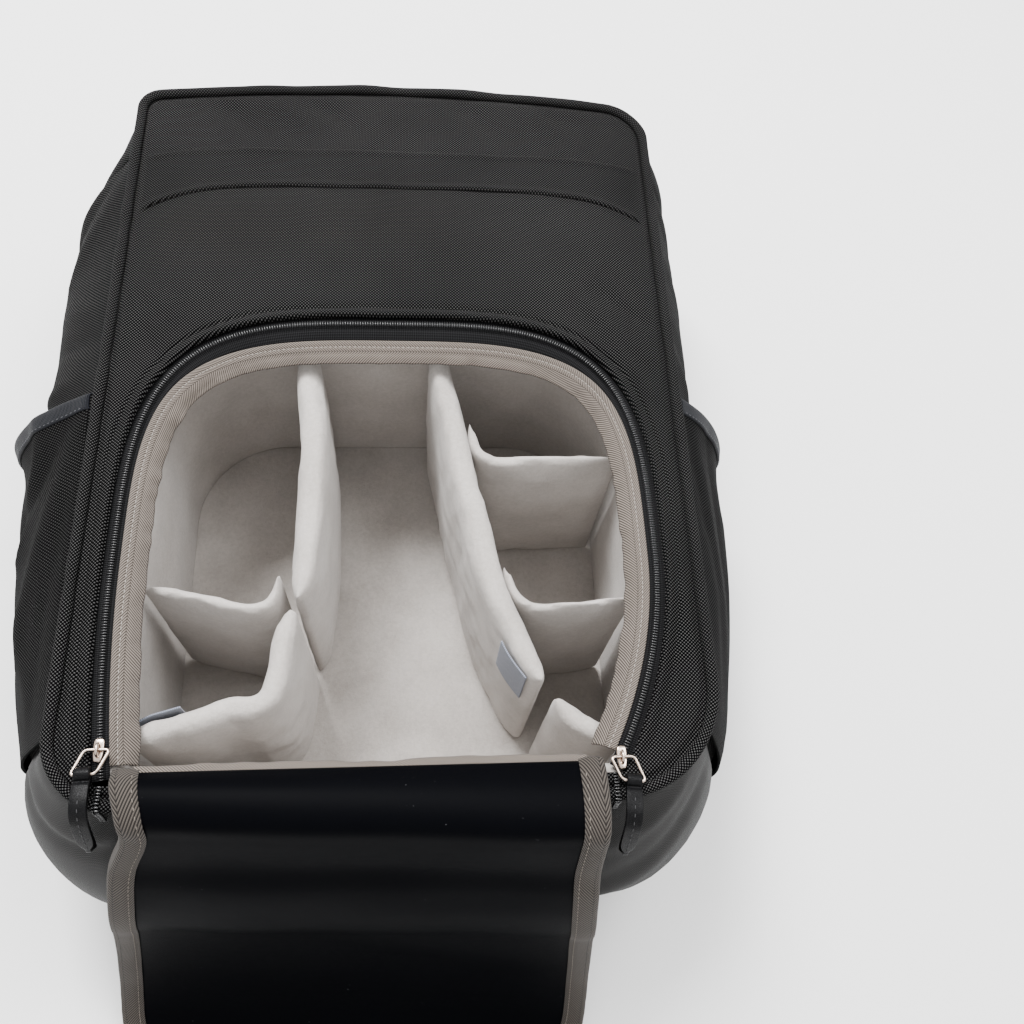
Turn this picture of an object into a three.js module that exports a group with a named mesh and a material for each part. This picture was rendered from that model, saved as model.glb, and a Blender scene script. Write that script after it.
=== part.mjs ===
// Camera backpack lying on its back with the front flap unzipped and folded down.
// Units are millimetres. +Z is up, out of the bag's front. +Y runs towards the bag's
// top end and +X to the right of someone who looks at the front. The origin lies on
// the ground, under the middle of the spine pad.
import * as THREE from 'three';

// Body: the front seam's outline and the depth of the gusset behind it
const BODY_HALF_WIDTH = 167;
const BODY_TOP_Y = 225;
const BODY_BOTTOM_Y = -234;
const TOP_EDGE_BOW = 12;
const BOTTOM_EDGE_BOW = 6;
const CORNER_TOP_LEFT = 10;
const CORNER_TOP_RIGHT = 24;
const CORNER_BOTTOM_RIGHT = 52;
const CORNER_BOTTOM_LEFT = 32;
const BASE_SEAM_LEFT = 32;
const BASE_SEAM_RIGHT = 30;
const BODY_DEPTH = 178;
const FRONT_DOME = 5;
const CLOTH = 3.5;
const FRONT_CLOTH = 3;
const GAP = 0.3;

// How far each side of the loaded bag bulges past the seam at half depth
const BULGE_LEFT_UPPER = 60;
const BULGE_LEFT_LOWER = 38;
const BULGE_RIGHT_UPPER = 34;
const BULGE_RIGHT_LOWER = 24;
const BULGE_TOP = 16;
const BULGE_BASE = 42;
const BULGE_BLEND = 70;
const GUSSET_SEAM_Y = 188;

// Piping round the front seam
const PIPING_RADIUS = 3.2;
const PIPING_OUTSET = 1.5;

// Front band with its two seams, across the upper front
const BAND_TOP_Y = 181;
const BAND_BOTTOM_Y = 147;
const BAND_THICKNESS = 1.6;
const BAND_EDGE_MARGIN = 9;
const BAND_END_DROP = 20;

// U-shaped zip round the opening
const ZIP_CENTRE_X = -2;
const ZIP_SHOULDER_Y = -110;
const ZIP_SIDE_MARGIN = 20;
const ZIP_HALF_WIDTH = BODY_HALF_WIDTH - ZIP_SIDE_MARGIN;
const ZIP_TOP_Y = 41.5;
const ZIP_SQUARENESS = 3.5;
const ZIP_NARROWING_LEFT = 9;
const ZIP_NARROWING_RIGHT = 33;
const HINGE_MARGIN = 6;
const HINGE_Y = BODY_BOTTOM_Y + HINGE_MARGIN;
const ZIP_CHAIN_WIDTH = 3.6;
const ZIP_CHAIN_HEIGHT = 2.2;
const ZIP_TAPE_INSIDE = 3.5;
const ZIP_TAPE_OUTSIDE = 8;
const ZIP_TAPE_THICKNESS = 0.8;
const FRONT_EDGE_OFFSET = 4.5;
const ZIP_TAIL_LENGTH = 26;
const BINDING_WIDTH = 13;
const BINDING_THICKNESS = 1.4;
const BINDING_SLOPE = 8;

// Padded insert that lines the camera compartment
const INSERT_SIDE_MARGIN = 6;
const INSERT_HALF_WIDTH = ZIP_HALF_WIDTH - INSERT_SIDE_MARGIN;
const INSERT_END_MARGIN = 4.5;
const INSERT_TOP_Y = ZIP_TOP_Y + INSERT_END_MARGIN;
const INSERT_BOTTOM_MARGIN = 7;
const INSERT_BOTTOM_Y = HINGE_Y + INSERT_BOTTOM_MARGIN;
const INSERT_CORNER_TOP = 62;
const INSERT_CORNER_BOTTOM = 22;
const INSERT_WALL = 9;
const INSERT_FLOOR = 9;
const INSERT_RIM_DROP = 6;

// Loose dividers: how far their tops stay below the insert's rim
const LONG_DIVIDER_DROP = 8;
const CROSS_DIVIDER_DROP = 15;
const LONG_DIVIDER_THICKNESS = 12;
const CROSS_DIVIDER_THICKNESS = 6;
const PATCH_WIDTH = 24;
const PATCH_HEIGHT = 42;
const PATCH_THICKNESS = 0.9;

// Flap that folds over the bottom end and down to the ground
const FLAP_CENTRE_X = -15;
const FLAP_SKEW = -12;
const FLAP_TILT = 12;
const FLAP_TILT_END = 0.06;
const FLAP_SIDE_MARGIN = 46;
const FLAP_HALF_WIDTH = BODY_HALF_WIDTH - FLAP_SIDE_MARGIN;
const FLAP_FLARE = 18;
const FLAP_LENGTH = 290;
const FLAP_SHELL = 3;
const FLAP_LINING = 1.5;
const FLAP_BINDING_WIDTH = 13;
const FLAP_CREST_RISE = 10;
const FLAP_CLEARANCE = 3;
const FLAP_KICK = 62;
const FLAP_ROUND_END = 70;
const FLAP_SQUARENESS = 3;

// Zip pulls
const SLIDER_LENGTH = 12;
const SLIDER_WIDTH = 5;
const SLIDER_HEIGHT = 5.5;
const RING_WIRE = 0.8;
const RING_WIDTH = 12;
const RING_LENGTH = 13;
const RING_CORNER = 1.6;
const TAB_WIDTH = 8;
const TAB_LENGTH = 40;
const TAB_THICKNESS = 2.4;
const SLIDER_LEFT_REACH = 17;
const SLIDER_RIGHT_REACH = 7;

// Side pockets
const POCKET_MOUTH_Y = 0;
const POCKET_STANDOFF_LEFT = 26;
const POCKET_STANDOFF_RIGHT = 20;
const POCKET_CLOTH = 1.6;
const POCKET_HEM = 10;
const POCKET_LEVELS = 8;

// Harness under the back panel
const PAD_THICKNESS = 12;
const BACK_PANEL_THICKNESS = 8;
const SPINE_PAD_WIDTH = 72;
const SPINE_PAD_LENGTH = 290;
const LUMBAR_PAD_WIDTH = 205;
const LUMBAR_PAD_LENGTH = 44;
const STRAP_WIDTH = 62;
const STRAP_THICKNESS = 10;
const WEBBING_WIDTH = 25;
const WEBBING_THICKNESS = 2;
const HANDLE_SPAN = 110;
const HANDLE_RISE = 20;

// Heights that follow from the sizes above
const BACK_Z = PAD_THICKNESS + GAP;
const FRONT_Z = BACK_Z + BODY_DEPTH;
const WALL_TOP_Z = FRONT_Z - PIPING_RADIUS - GAP;
const INSERT_FLOOR_Z = BACK_Z + BACK_PANEL_THICKNESS + GAP;
const INSERT_INSIDE_Z = INSERT_FLOOR_Z + INSERT_FLOOR;
const INSERT_RIM_Z = FRONT_Z - INSERT_RIM_DROP;

const clamp = (value, low, high) => Math.min(Math.max(value, low), high);
const lerp = (a, b, t) => a + (b - a) * t;
const smooth = (t) => {
  const c = clamp(t, 0, 1);
  return c * c * (3 - 2 * c);
};

// A flat route through points: point(share) and the unit normal on its left hand
class Route {
  constructor(points, closed = false) {
    this.closed = closed;
    this.points = closed ? [...points, points[0]] : points;
    this.lengths = [0];
    for (let i = 1; i < this.points.length; i += 1) {
      const [ax, ay] = this.points[i - 1];
      const [bx, by] = this.points[i];
      this.lengths.push(this.lengths[i - 1] + Math.hypot(bx - ax, by - ay));
    }
    this.length = this.lengths[this.lengths.length - 1];
  }

  at(share) {
    const wrapped = this.closed ? share - Math.floor(share) : clamp(share, 0, 1);
    const target = wrapped * this.length;
    let i = 1;
    while (i < this.lengths.length - 1 && this.lengths[i] < target) i += 1;
    const span = this.lengths[i] - this.lengths[i - 1];
    const t = span > 0 ? (target - this.lengths[i - 1]) / span : 0;
    const [ax, ay] = this.points[i - 1];
    const [bx, by] = this.points[i];
    return [lerp(ax, bx, t), lerp(ay, by, t)];
  }

  normal(share, reach = 3) {
    const step = reach / this.length;
    const before = this.at(this.closed ? share - step : Math.max(share - step, 0));
    const after = this.at(this.closed ? share + step : Math.min(share + step, 1));
    const dx = after[0] - before[0];
    const dy = after[1] - before[1];
    const size = Math.hypot(dx, dy);
    return [-dy / size, dx / size];
  }

  offset(share, distance) {
    const [x, y] = this.at(share);
    const [nx, ny] = this.normal(share);
    return [x + nx * distance, y + ny * distance];
  }

  // Shares from one to another, closer together where the route bends
  stations(from, to, count, bendWeight = 26) {
    const fine = 600;
    const weights = [0];
    let last = this.normal(from, 1);
    for (let i = 1; i <= fine; i += 1) {
      const next = this.normal(lerp(from, to, i / fine), 1);
      const turn = Math.acos(clamp(last[0] * next[0] + last[1] * next[1], -1, 1));
      weights.push(weights[i - 1] + (Math.abs(to - from) * this.length) / fine + bendWeight * turn);
      last = next;
    }
    const total = weights[fine];
    const shares = [];
    let i = 0;
    for (let k = 0; k <= count; k += 1) {
      while (i < fine - 1 && weights[i + 1] < (total * k) / count) i += 1;
      const t = ((total * k) / count - weights[i]) / (weights[i + 1] - weights[i]);
      shares.push(lerp(from, to, (i + t) / fine));
    }
    return shares;
  }

  // The share of the first place, between two shares, where the route crosses height y
  shareAtY(y, from, to) {
    const steps = 400;
    for (let i = 0; i < steps; i += 1) {
      const a = lerp(from, to, i / steps);
      const b = lerp(from, to, (i + 1) / steps);
      const ya = this.at(a)[1];
      const yb = this.at(b)[1];
      if ((ya - y) * (yb - y) <= 0 && ya !== yb) return lerp(a, b, (y - ya) / (yb - ya));
    }
    return to;
  }
}

// A smooth curve through a few points, as a dense list for a Route
function curvePoints(points, count = 60) {
  const curve = new THREE.CatmullRomCurve3(
    points.map(([x, y]) => new THREE.Vector3(x, y, 0)), false, 'centripetal');
  return curve.getPoints(count).map((p) => [p.x, p.y]);
}

function arcPoints(cx, cy, radius, fromDegrees, toDegrees, count = 10) {
  return Array.from({ length: count + 1 }, (_, i) => {
    const angle = THREE.MathUtils.degToRad(lerp(fromDegrees, toDegrees, i / count));
    return [cx + radius * Math.cos(angle), cy + radius * Math.sin(angle)];
  });
}

function meshFrom(vertices, triangles) {
  let volume = 0;
  const a = new THREE.Vector3();
  const b = new THREE.Vector3();
  const c = new THREE.Vector3();
  for (const [i, j, k] of triangles) {
    a.fromArray(vertices[i]);
    b.fromArray(vertices[j]);
    c.fromArray(vertices[k]);
    volume += a.dot(b.cross(c));
  }
  const faces = volume < 0 ? triangles.map(([i, j, k]) => [i, k, j]) : triangles;
  const geometry = new THREE.BufferGeometry();
  geometry.setAttribute('position', new THREE.Float32BufferAttribute(vertices.flat(), 3));
  geometry.setIndex(faces.flat());
  return geometry;
}

// A closed sheet between two surfaces, face(u, v) and back(u, v), with u and v in 0..1.
// With loop the sheet closes on itself along u.
function sheet(nu, nv, face, back, loop = false) {
  const columns = loop ? nu : nu + 1;
  const vertices = [];
  for (const surface of [face, back]) {
    for (let i = 0; i < columns; i += 1) {
      for (let j = 0; j <= nv; j += 1) vertices.push(surface(i / nu, j / nv));
    }
  }
  const half = columns * (nv + 1);
  const front = (i, j) => (i % columns) * (nv + 1) + j;
  const rear = (i, j) => half + front(i, j);
  const triangles = [];
  const quad = (p, q, r, s) => triangles.push([p, q, r], [p, r, s]);
  for (let i = 0; i < nu; i += 1) {
    for (let j = 0; j < nv; j += 1) {
      quad(front(i, j), front(i + 1, j), front(i + 1, j + 1), front(i, j + 1));
      quad(rear(i, j), rear(i, j + 1), rear(i + 1, j + 1), rear(i + 1, j));
    }
    quad(front(i + 1, 0), front(i, 0), rear(i, 0), rear(i + 1, 0));
    quad(front(i, nv), front(i + 1, nv), rear(i + 1, nv), rear(i, nv));
  }
  if (!loop) {
    for (let j = 0; j < nv; j += 1) {
      quad(front(0, j), front(0, j + 1), rear(0, j + 1), rear(0, j));
      quad(front(nu, j + 1), front(nu, j), rear(nu, j), rear(nu, j + 1));
    }
  }
  return meshFrom(vertices, triangles);
}

// A round wire or cord along a closed path of 3-D points
function closedTube(path, radius, sides, up) {
  const vertices = [];
  const count = path.length;
  for (let i = 0; i < count; i += 1) {
    const before = path[(i + count - 1) % count];
    const after = path[(i + 1) % count];
    const tangent = after.clone().sub(before).normalize();
    const across = tangent.clone().cross(up).normalize();
    const rise = across.clone().cross(tangent).normalize();
    for (let k = 0; k < sides; k += 1) {
      const angle = (2 * Math.PI * (k + 0.5)) / sides;
      const p = path[i].clone()
        .addScaledVector(across, radius * Math.cos(angle))
        .addScaledVector(rise, radius * Math.sin(angle));
      vertices.push(p.toArray());
    }
  }
  const triangles = [];
  for (let i = 0; i < count; i += 1) {
    for (let k = 0; k < sides; k += 1) {
      const a = i * sides + k;
      const b = i * sides + ((k + 1) % sides);
      const c = ((i + 1) % count) * sides + ((k + 1) % sides);
      const d = ((i + 1) % count) * sides + k;
      triangles.push([a, b, c], [a, c, d]);
    }
  }
  return meshFrom(vertices, triangles);
}

// The front seam's outline, clockwise from the middle of the bottom edge, so that the
// left-hand normal points out of the bag
function outlinePoints() {
  const w = BODY_HALF_WIDTH;
  const top = BODY_TOP_Y;
  const bottom = BODY_BOTTOM_Y;
  const corners = [
    arcPoints(-w + CORNER_BOTTOM_LEFT, bottom + CORNER_BOTTOM_LEFT, CORNER_BOTTOM_LEFT, 270, 180),
    arcPoints(-w + CORNER_TOP_LEFT, top - CORNER_TOP_LEFT, CORNER_TOP_LEFT, 180, 90),
    arcPoints(w - CORNER_TOP_RIGHT, top - CORNER_TOP_RIGHT, CORNER_TOP_RIGHT, 90, 0),
    arcPoints(w - CORNER_BOTTOM_RIGHT, bottom + CORNER_BOTTOM_RIGHT, CORNER_BOTTOM_RIGHT, 0, -90),
  ];
  const line = (from, to, count) => Array.from({ length: count - 1 }, (_, i) => {
    const t = (i + 1) / count;
    return [lerp(from[0], to[0], t), lerp(from[1], to[1], t)];
  });
  const start = [0, bottom];
  const flat = [start];
  let last = start;
  for (const corner of [...corners, [start]]) {
    flat.push(...line(last, corner[0], 30));
    if (corner.length > 1) flat.push(...corner);
    last = corner[corner.length - 1];
  }
  return flat.map(([x, y]) => {
    const bow = 1 - (x / w) ** 2;
    const reach = y > 0 ? (y / top) * TOP_EDGE_BOW : (-y / bottom) * BOTTOM_EDGE_BOW;
    return [x, y + bow * reach];
  });
}

const outline = new Route(outlinePoints(), true);
const LEFT_SIDE = [0.1, 0.42];
const RIGHT_SIDE = [0.9, 0.55];
const SEAM_STEPS = 68;
const seam = outline.stations(0, 1, SEAM_STEPS);
const leftShare = (y) => outline.shareAtY(y, LEFT_SIDE[0], LEFT_SIDE[1]);
const rightShare = (y) => outline.shareAtY(y, RIGHT_SIDE[0], RIGHT_SIDE[1]);

// How far the gusset stands outside the seam, from the outline's normal and height
function bulgeAt(nx, ny, y) {
  const upper = smooth((y - POCKET_MOUTH_Y + BULGE_BLEND / 2) / BULGE_BLEND);
  const left = lerp(BULGE_LEFT_LOWER, BULGE_LEFT_UPPER, upper);
  const right = lerp(BULGE_RIGHT_LOWER, BULGE_RIGHT_UPPER, upper);
  const side = nx < 0 ? left : right;
  const end = ny < 0 ? BULGE_BASE : BULGE_TOP;
  return side * nx * nx + end * ny * ny;
}

// A point of the gusset at a share of the outline and a share of the depth
function wallPoint(share, level, extra = 0) {
  const [x, y] = outline.at(share);
  const [nx, ny] = outline.normal(share, 9);
  const out = bulgeAt(nx, ny, y) * Math.sin(Math.PI * clamp(level, 0, 1)) + extra;
  return [x + nx * out, y + ny * out, lerp(BACK_Z, WALL_TOP_Z, level)];
}

// Soft dents of the loaded front: place and size as shares of the body's half width and top
const FRONT_DENTS = [
  { x: -0.36, y: 0.90, wide: 0.16, tall: 0.10, depth: 0.9 },
  { x: 0.12, y: 0.88, wide: 0.13, tall: 0.09, depth: 0.6 },
  { x: 0.42, y: 0.86, wide: 0.14, tall: 0.10, depth: 0.5 },
];

// Height of the domed front above the ground
function frontZ(x, y) {
  const reach = y > 0 ? BODY_TOP_Y + TOP_EDGE_BOW : -BODY_BOTTOM_Y + BOTTOM_EDGE_BOW;
  const across = 1 - Math.abs(clamp(x / BODY_HALF_WIDTH, -1, 1)) ** 3;
  const along = 1 - Math.abs(clamp(y / reach, -1, 1)) ** 4;
  let height = FRONT_Z + FRONT_DOME * across * along;
  for (const dent of FRONT_DENTS) {
    const dx = (x / BODY_HALF_WIDTH - dent.x) / dent.wide;
    const dy = (y / BODY_TOP_Y - dent.y) / dent.tall;
    height -= dent.depth * FRONT_CLOTH * Math.exp(-dx * dx - dy * dy) * across;
  }
  return height;
}

// The zip's U, from the left foot at the hinge, round the top, to the right foot
function zipPoints() {
  const leg = (side, narrowing, count) => Array.from({ length: count }, (_, i) => {
    const t = 1 - i / count;
    const y = lerp(ZIP_SHOULDER_Y, HINGE_Y, t);
    return [ZIP_CENTRE_X + side * (ZIP_HALF_WIDTH - narrowing * t * t), y];
  });
  const power = 2 / ZIP_SQUARENESS;
  const arch = Array.from({ length: 181 }, (_, i) => {
    const angle = Math.PI * (1 - i / 180);
    const c = Math.cos(angle);
    const s = Math.sin(angle);
    return [
      ZIP_CENTRE_X + ZIP_HALF_WIDTH * Math.sign(c) * Math.abs(c) ** power,
      ZIP_SHOULDER_Y + (ZIP_TOP_Y - ZIP_SHOULDER_Y) * Math.max(s, 0) ** power,
    ];
  });
  return [
    ...leg(-1, ZIP_NARROWING_LEFT, 30),
    ...arch,
    ...leg(1, ZIP_NARROWING_RIGHT, 30).reverse(),
  ];
}

const zip = new Route(zipPoints());
const ZIP_STEPS = 40;
const ZIP_FOOT_GAP = 3;
const slope = (offset) => BINDING_SLOPE * clamp((-offset - ZIP_TAPE_INSIDE) / BINDING_WIDTH, 0, 1);

// A point beside the zip: its share along the U, its distance outside it, its depth
function besideZip(share, distance, depth) {
  const [x, y] = zip.offset(share, distance);
  return [x, y, frontZ(x, y) - depth - slope(distance)];
}

// The front panel's inner edge: beside the zip, and straight along the hinge
function openingPoints() {
  const count = 120;
  const round = Array.from({ length: count + 1 }, (_, i) => zip.offset(i / count, FRONT_EDGE_OFFSET));
  const first = round[0];
  const last = round[count];
  const bottom = Array.from({ length: 20 }, (_, i) => [lerp(last[0], first[0], (i + 1) / 21), HINGE_Y]);
  return [...round, ...bottom];
}

const CORNER_SNAP = 0.045;
const openingByAngle = openingPoints()
  .map(([x, y]) => ({ x, y, angle: Math.atan2(y - ZIP_SHOULDER_Y, x - ZIP_CENTRE_X) }))
  .sort((p, q) => p.angle - q.angle);

const openingCorners = [0, 1].map((foot) => {
  const [x] = zip.offset(foot, FRONT_EDGE_OFFSET);
  return { x, y: HINGE_Y, angle: Math.atan2(HINGE_Y - ZIP_SHOULDER_Y, x - ZIP_CENTRE_X) };
});

function openingAt(angle) {
  const corner = openingCorners.find((c) => Math.abs(c.angle - angle) < CORNER_SNAP);
  if (corner) return [corner.x, corner.y];
  const table = openingByAngle;
  let i = 0;
  while (i < table.length && table[i].angle < angle) i += 1;
  const a = table[(i + table.length - 1) % table.length];
  const b = table[i % table.length];
  const turn = 2 * Math.PI;
  const span = (b.angle - a.angle + turn) % turn;
  const t = span > 0 ? ((angle - a.angle + turn) % turn) / span : 0;
  return [lerp(a.x, b.x, t), lerp(a.y, b.y, t)];
}

function frontPanel() {
  const inset = PIPING_RADIUS - PIPING_OUTSET + 2 * GAP;
  const surface = (u, v, depth) => {
    const [ox, oy] = outline.offset(seam[Math.round(u * SEAM_STEPS)], -inset);
    const [ix, iy] = openingAt(Math.atan2(oy - ZIP_SHOULDER_Y, ox - ZIP_CENTRE_X));
    const x = lerp(ox, ix, v);
    const y = lerp(oy, iy, v);
    return [x, y, frontZ(x, y) - depth];
  };
  return sheet(SEAM_STEPS, 4, (u, v) => surface(u, v, 0), (u, v) => surface(u, v, FRONT_CLOTH), true);
}

function frontBand() {
  const half = BODY_HALF_WIDTH - BAND_EDGE_MARGIN;
  const surface = (u, v, lift) => {
    const x = lerp(-half, half, u);
    const end = Math.abs(2 * u - 1) ** 6;
    const drop = end * BAND_END_DROP;
    const y = lerp(BAND_TOP_Y - drop * 0.4, BAND_BOTTOM_Y - drop, v);
    return [x, y, frontZ(x, y) + GAP + lift];
  };
  return sheet(16, 2, (u, v) => surface(u, v, BAND_THICKNESS), (u, v) => surface(u, v, 0));
}

function frontPiping() {
  const path = seam.slice(0, SEAM_STEPS).map((share) => {
    const [x, y] = outline.offset(share, PIPING_OUTSET);
    return new THREE.Vector3(x, y, FRONT_Z);
  });
  return closedTube(path, PIPING_RADIUS, 5, new THREE.Vector3(0, 0, 1));
}

// One panel of the gusset between two shares of the outline
function gussetPanel(from, to, steps, levels) {
  const trim = GAP / 2 / outline.length;
  const shares = outline.stations(from + trim, to - trim, steps);
  const share = (u) => shares[Math.round(u * steps)];
  return sheet(steps, levels,
    (u, v) => wallPoint(share(u), v),
    (u, v) => wallPoint(share(u), v, -CLOTH));
}

// A flat plate with a curved outline, from a closed route
function plate(route, inset, low, high, count) {
  const shape = new THREE.Shape(route.stations(0, 1, count).slice(0, count).map((share) => {
    const [x, y] = route.offset(share, -inset);
    return new THREE.Vector2(x, y);
  }));
  const geometry = new THREE.ExtrudeGeometry(shape, { depth: high - low, bevelEnabled: false });
  return geometry.translate(0, 0, low);
}

function roundedRectangle(cx, cy, width, height, corner, steps = 4) {
  const x = width / 2 - corner;
  const y = height / 2 - corner;
  return new Route([
    ...arcPoints(cx - x, cy - y, corner, 270, 180, steps),
    ...arcPoints(cx - x, cy + y, corner, 180, 90, steps),
    ...arcPoints(cx + x, cy + y, corner, 90, 0, steps),
    ...arcPoints(cx + x, cy - y, corner, 0, -90, steps),
  ], true);
}

// Inside face of the padded insert
function insertRoute() {
  const w = INSERT_HALF_WIDTH;
  const top = INSERT_CORNER_TOP;
  const bottom = INSERT_CORNER_BOTTOM;
  const points = [
    ...arcPoints(-w + bottom, INSERT_BOTTOM_Y + bottom, bottom, 270, 180),
    ...arcPoints(-w + top, INSERT_TOP_Y - top, top, 180, 90),
    ...arcPoints(w - top, INSERT_TOP_Y - top, top, 90, 0),
    ...arcPoints(w - bottom, INSERT_BOTTOM_Y + bottom, bottom, 0, -90),
  ];
  return new Route(points.map(([x, y]) => [x + ZIP_CENTRE_X, y]), true);
}

const insert = insertRoute();

function insertWall() {
  const count = 40;
  const shares = insert.stations(0, 1, count);
  const levels = [INSERT_INSIDE_Z + GAP, INSERT_RIM_Z - INSERT_WALL / 4, INSERT_RIM_Z];
  const crown = [0, 0, INSERT_WALL / 4];
  const surface = (u, v, outside) => {
    const row = Math.round(v * 2);
    const offset = outside ? INSERT_WALL - crown[row] : crown[row];
    const [x, y] = insert.offset(shares[Math.round(u * count)], offset);
    return [x, y, levels[row]];
  };
  return sheet(count, 2, (u, v) => surface(u, v, false), (u, v) => surface(u, v, true), true);
}

// Divider routes: x as a share of the insert's half width from its centre line, y as a
// share of its length from the top end
const DIVIDER_ROUTES = {
  long_left: [
    [-0.369, 0.004], [-0.369, 0.09], [-0.331, 0.232], [-0.332, 0.425], [-0.348, 0.578], [-0.367, 0.648],
  ],
  lower_left: [
    [-0.378, 0.664], [-0.409, 0.725], [-0.424, 0.800], [-0.452, 0.852], [-0.513, 0.868],
    [-0.590, 0.868], [-0.690, 0.888], [-0.800, 0.905], [-0.900, 0.920], [-0.955, 0.930],
  ],
  cross_left: [
    [-0.985, 0.603], [-0.745, 0.633], [-0.530, 0.656], [-0.468, 0.640], [-0.446, 0.573],
  ],
  long_right: [
    [0.206, 0.004], [0.206, 0.082], [0.252, 0.191], [0.302, 0.360], [0.345, 0.455],
    [0.392, 0.588], [0.424, 0.644], [0.480, 0.708], [0.530, 0.770], [0.590, 0.832],
  ],
  lower_right: [
    [0.622, 0.858], [0.660, 0.884], [0.722, 0.912], [0.800, 0.936], [0.885, 0.952],
  ],
  cross_right_upper: [
    [0.334, 0.215], [0.366, 0.290], [0.430, 0.308], [0.624, 0.308], [0.985, 0.305],
  ],
  cross_right_lower: [
    [0.462, 0.560], [0.502, 0.635], [0.560, 0.657], [0.700, 0.657], [0.985, 0.642],
  ],
};

function dividerRoute(name) {
  const length = INSERT_TOP_Y - INSERT_BOTTOM_Y;
  return new Route(curvePoints(DIVIDER_ROUTES[name].map(([x, y]) => [
    ZIP_CENTRE_X + x * INSERT_HALF_WIDTH,
    INSERT_TOP_Y - y * length,
  ])));
}

// A soft board that stands on the insert's floor, thinner at its ends and round on top
function divider(name, thickness, drop, steps) {
  const route = dividerRoute(name);
  const top = INSERT_RIM_Z - drop;
  const bottom = INSERT_INSIDE_Z + GAP;
  const heights = [bottom, top - thickness * 0.5, top - thickness * 0.12, top];
  const widths = [1, 1, 0.72, 0.28];
  const half = (u, row) => {
    const end = Math.min(u, 1 - u) * 8;
    return (thickness / 2) * widths[row] * lerp(0.55, 1, smooth(end));
  };
  const surface = (u, v, side) => {
    const row = Math.round(v * 3);
    const [x, y] = route.offset(u, side * half(u, row));
    return [x, y, heights[row]];
  };
  return sheet(steps, 3, (u, v) => surface(u, v, 1), (u, v) => surface(u, v, -1));
}

// A hook-and-loop patch on the face of a divider
function patch(name, thickness, drop, share, side) {
  const route = dividerRoute(name);
  const top = INSERT_RIM_Z - drop - thickness * 0.5 - GAP;
  const span = PATCH_WIDTH / route.length / 2;
  const near = thickness / 2 + GAP;
  const surface = (u, v, lift) => {
    const at = share + lerp(-span, span, u);
    const [x, y] = route.offset(at, side * (near + lift));
    return [x, y, lerp(top - PATCH_HEIGHT, top, v)];
  };
  return sheet(4, 1, (u, v) => surface(u, v, PATCH_THICKNESS), (u, v) => surface(u, v, 0));
}

// The flap's lower run, from the fullest part of the base down to the ground: how far
// out, as a share of its kick, and how high, as a share of that fullest place's height
const FLAP_FALL = [
  { out: 0.16, up: 0.62 },
  { out: 0.40, up: 0.30 },
  { out: 0.68, up: 0.11 },
  { out: 1.00, up: 0.036 },
];

// The flap's side view, in Y and Z: over the crest, close round the base, then down
function flapRoute() {
  const clear = FLAP_SHELL / 2 + FLAP_CLEARANCE;
  const crest = FRONT_Z + FLAP_CREST_RISE;
  const start = FRONT_Z + FLAP_SHELL / 2 - 2 * GAP;
  const seamY = BODY_BOTTOM_Y - BOTTOM_EDGE_BOW - PIPING_OUTSET - PIPING_RADIUS;
  const close = [0.88, 0.8, 0.7, 0.6, 0.5].map((level) => {
    const [, y, z] = wallPoint(0, level, clear);
    return [y, z];
  });
  const [fullY, fullZ] = close[close.length - 1];
  const fall = FLAP_FALL.map(({ out, up }) => [fullY - out * FLAP_KICK, up * fullZ]);
  const bend = curvePoints([
    [HINGE_Y + 3, start],
    [HINGE_Y - 4, crest],
    [seamY, crest - 1],
    [seamY - clear - 1, FRONT_Z - 1],
    ...close,
    ...fall,
  ], 90);
  const bent = new Route(bend);
  const [endY, endZ] = bend[bend.length - 1];
  return new Route([...bend, [endY - (FLAP_LENGTH - bent.length), endZ]]);
}

const flap = flapRoute();
const FLAP_END_STEPS = 8;
const FLAP_STEPS = 26;

// Shares along the flap: closer where it bends, and even in angle round its far end
function flapShares() {
  const straight = 1 - FLAP_ROUND_END / FLAP_LENGTH;
  const body = flap.stations(0, straight, FLAP_STEPS - FLAP_END_STEPS, 20);
  const end = Array.from({ length: FLAP_END_STEPS }, (_, i) => {
    const angle = (Math.PI / 2) * ((i + 1) / (FLAP_END_STEPS + 0.5));
    return 1 - (1 - straight) * (1 - Math.sin(angle) ** (2 / FLAP_SQUARENESS));
  });
  return [...body, ...end];
}

const flapStations = flapShares();

// Half the flap's width at a share of its length, with the round far end
function flapHalfWidth(share) {
  const flared = FLAP_HALF_WIDTH + FLAP_FLARE * smooth((share - 0.12) / 0.7);
  const end = clamp(1 - ((1 - share) * FLAP_LENGTH) / FLAP_ROUND_END, 0, 1);
  const round = Math.max(1 - end ** FLAP_SQUARENESS, 0) ** (1 / FLAP_SQUARENESS);
  return flared * round;
}

// A point of the flap: share along, distance from its middle line, and height above its
// middle surface. Its right side lies further out than its left, past the hinge.
function flapPoint(share, across, lift) {
  const [y, z] = flap.at(share);
  const [ny, nz] = flap.normal(share, 5);
  const place = (across / FLAP_HALF_WIDTH + 1) / 2;
  const tilt = FLAP_TILT * place * smooth(share / FLAP_TILT_END);
  return [FLAP_CENTRE_X + FLAP_SKEW * share + across, y - ny * lift - tilt, z - nz * lift];
}

function flapLayer(low, high, margin) {
  const surface = (u, v, lift) => {
    const share = flapStations[Math.round(u * FLAP_STEPS)];
    const half = flapHalfWidth(share) - margin;
    return flapPoint(share, lerp(-half, half, v), lift);
  };
  return sheet(FLAP_STEPS, 4, (u, v) => surface(u, v, high), (u, v) => surface(u, v, low));
}

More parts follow.
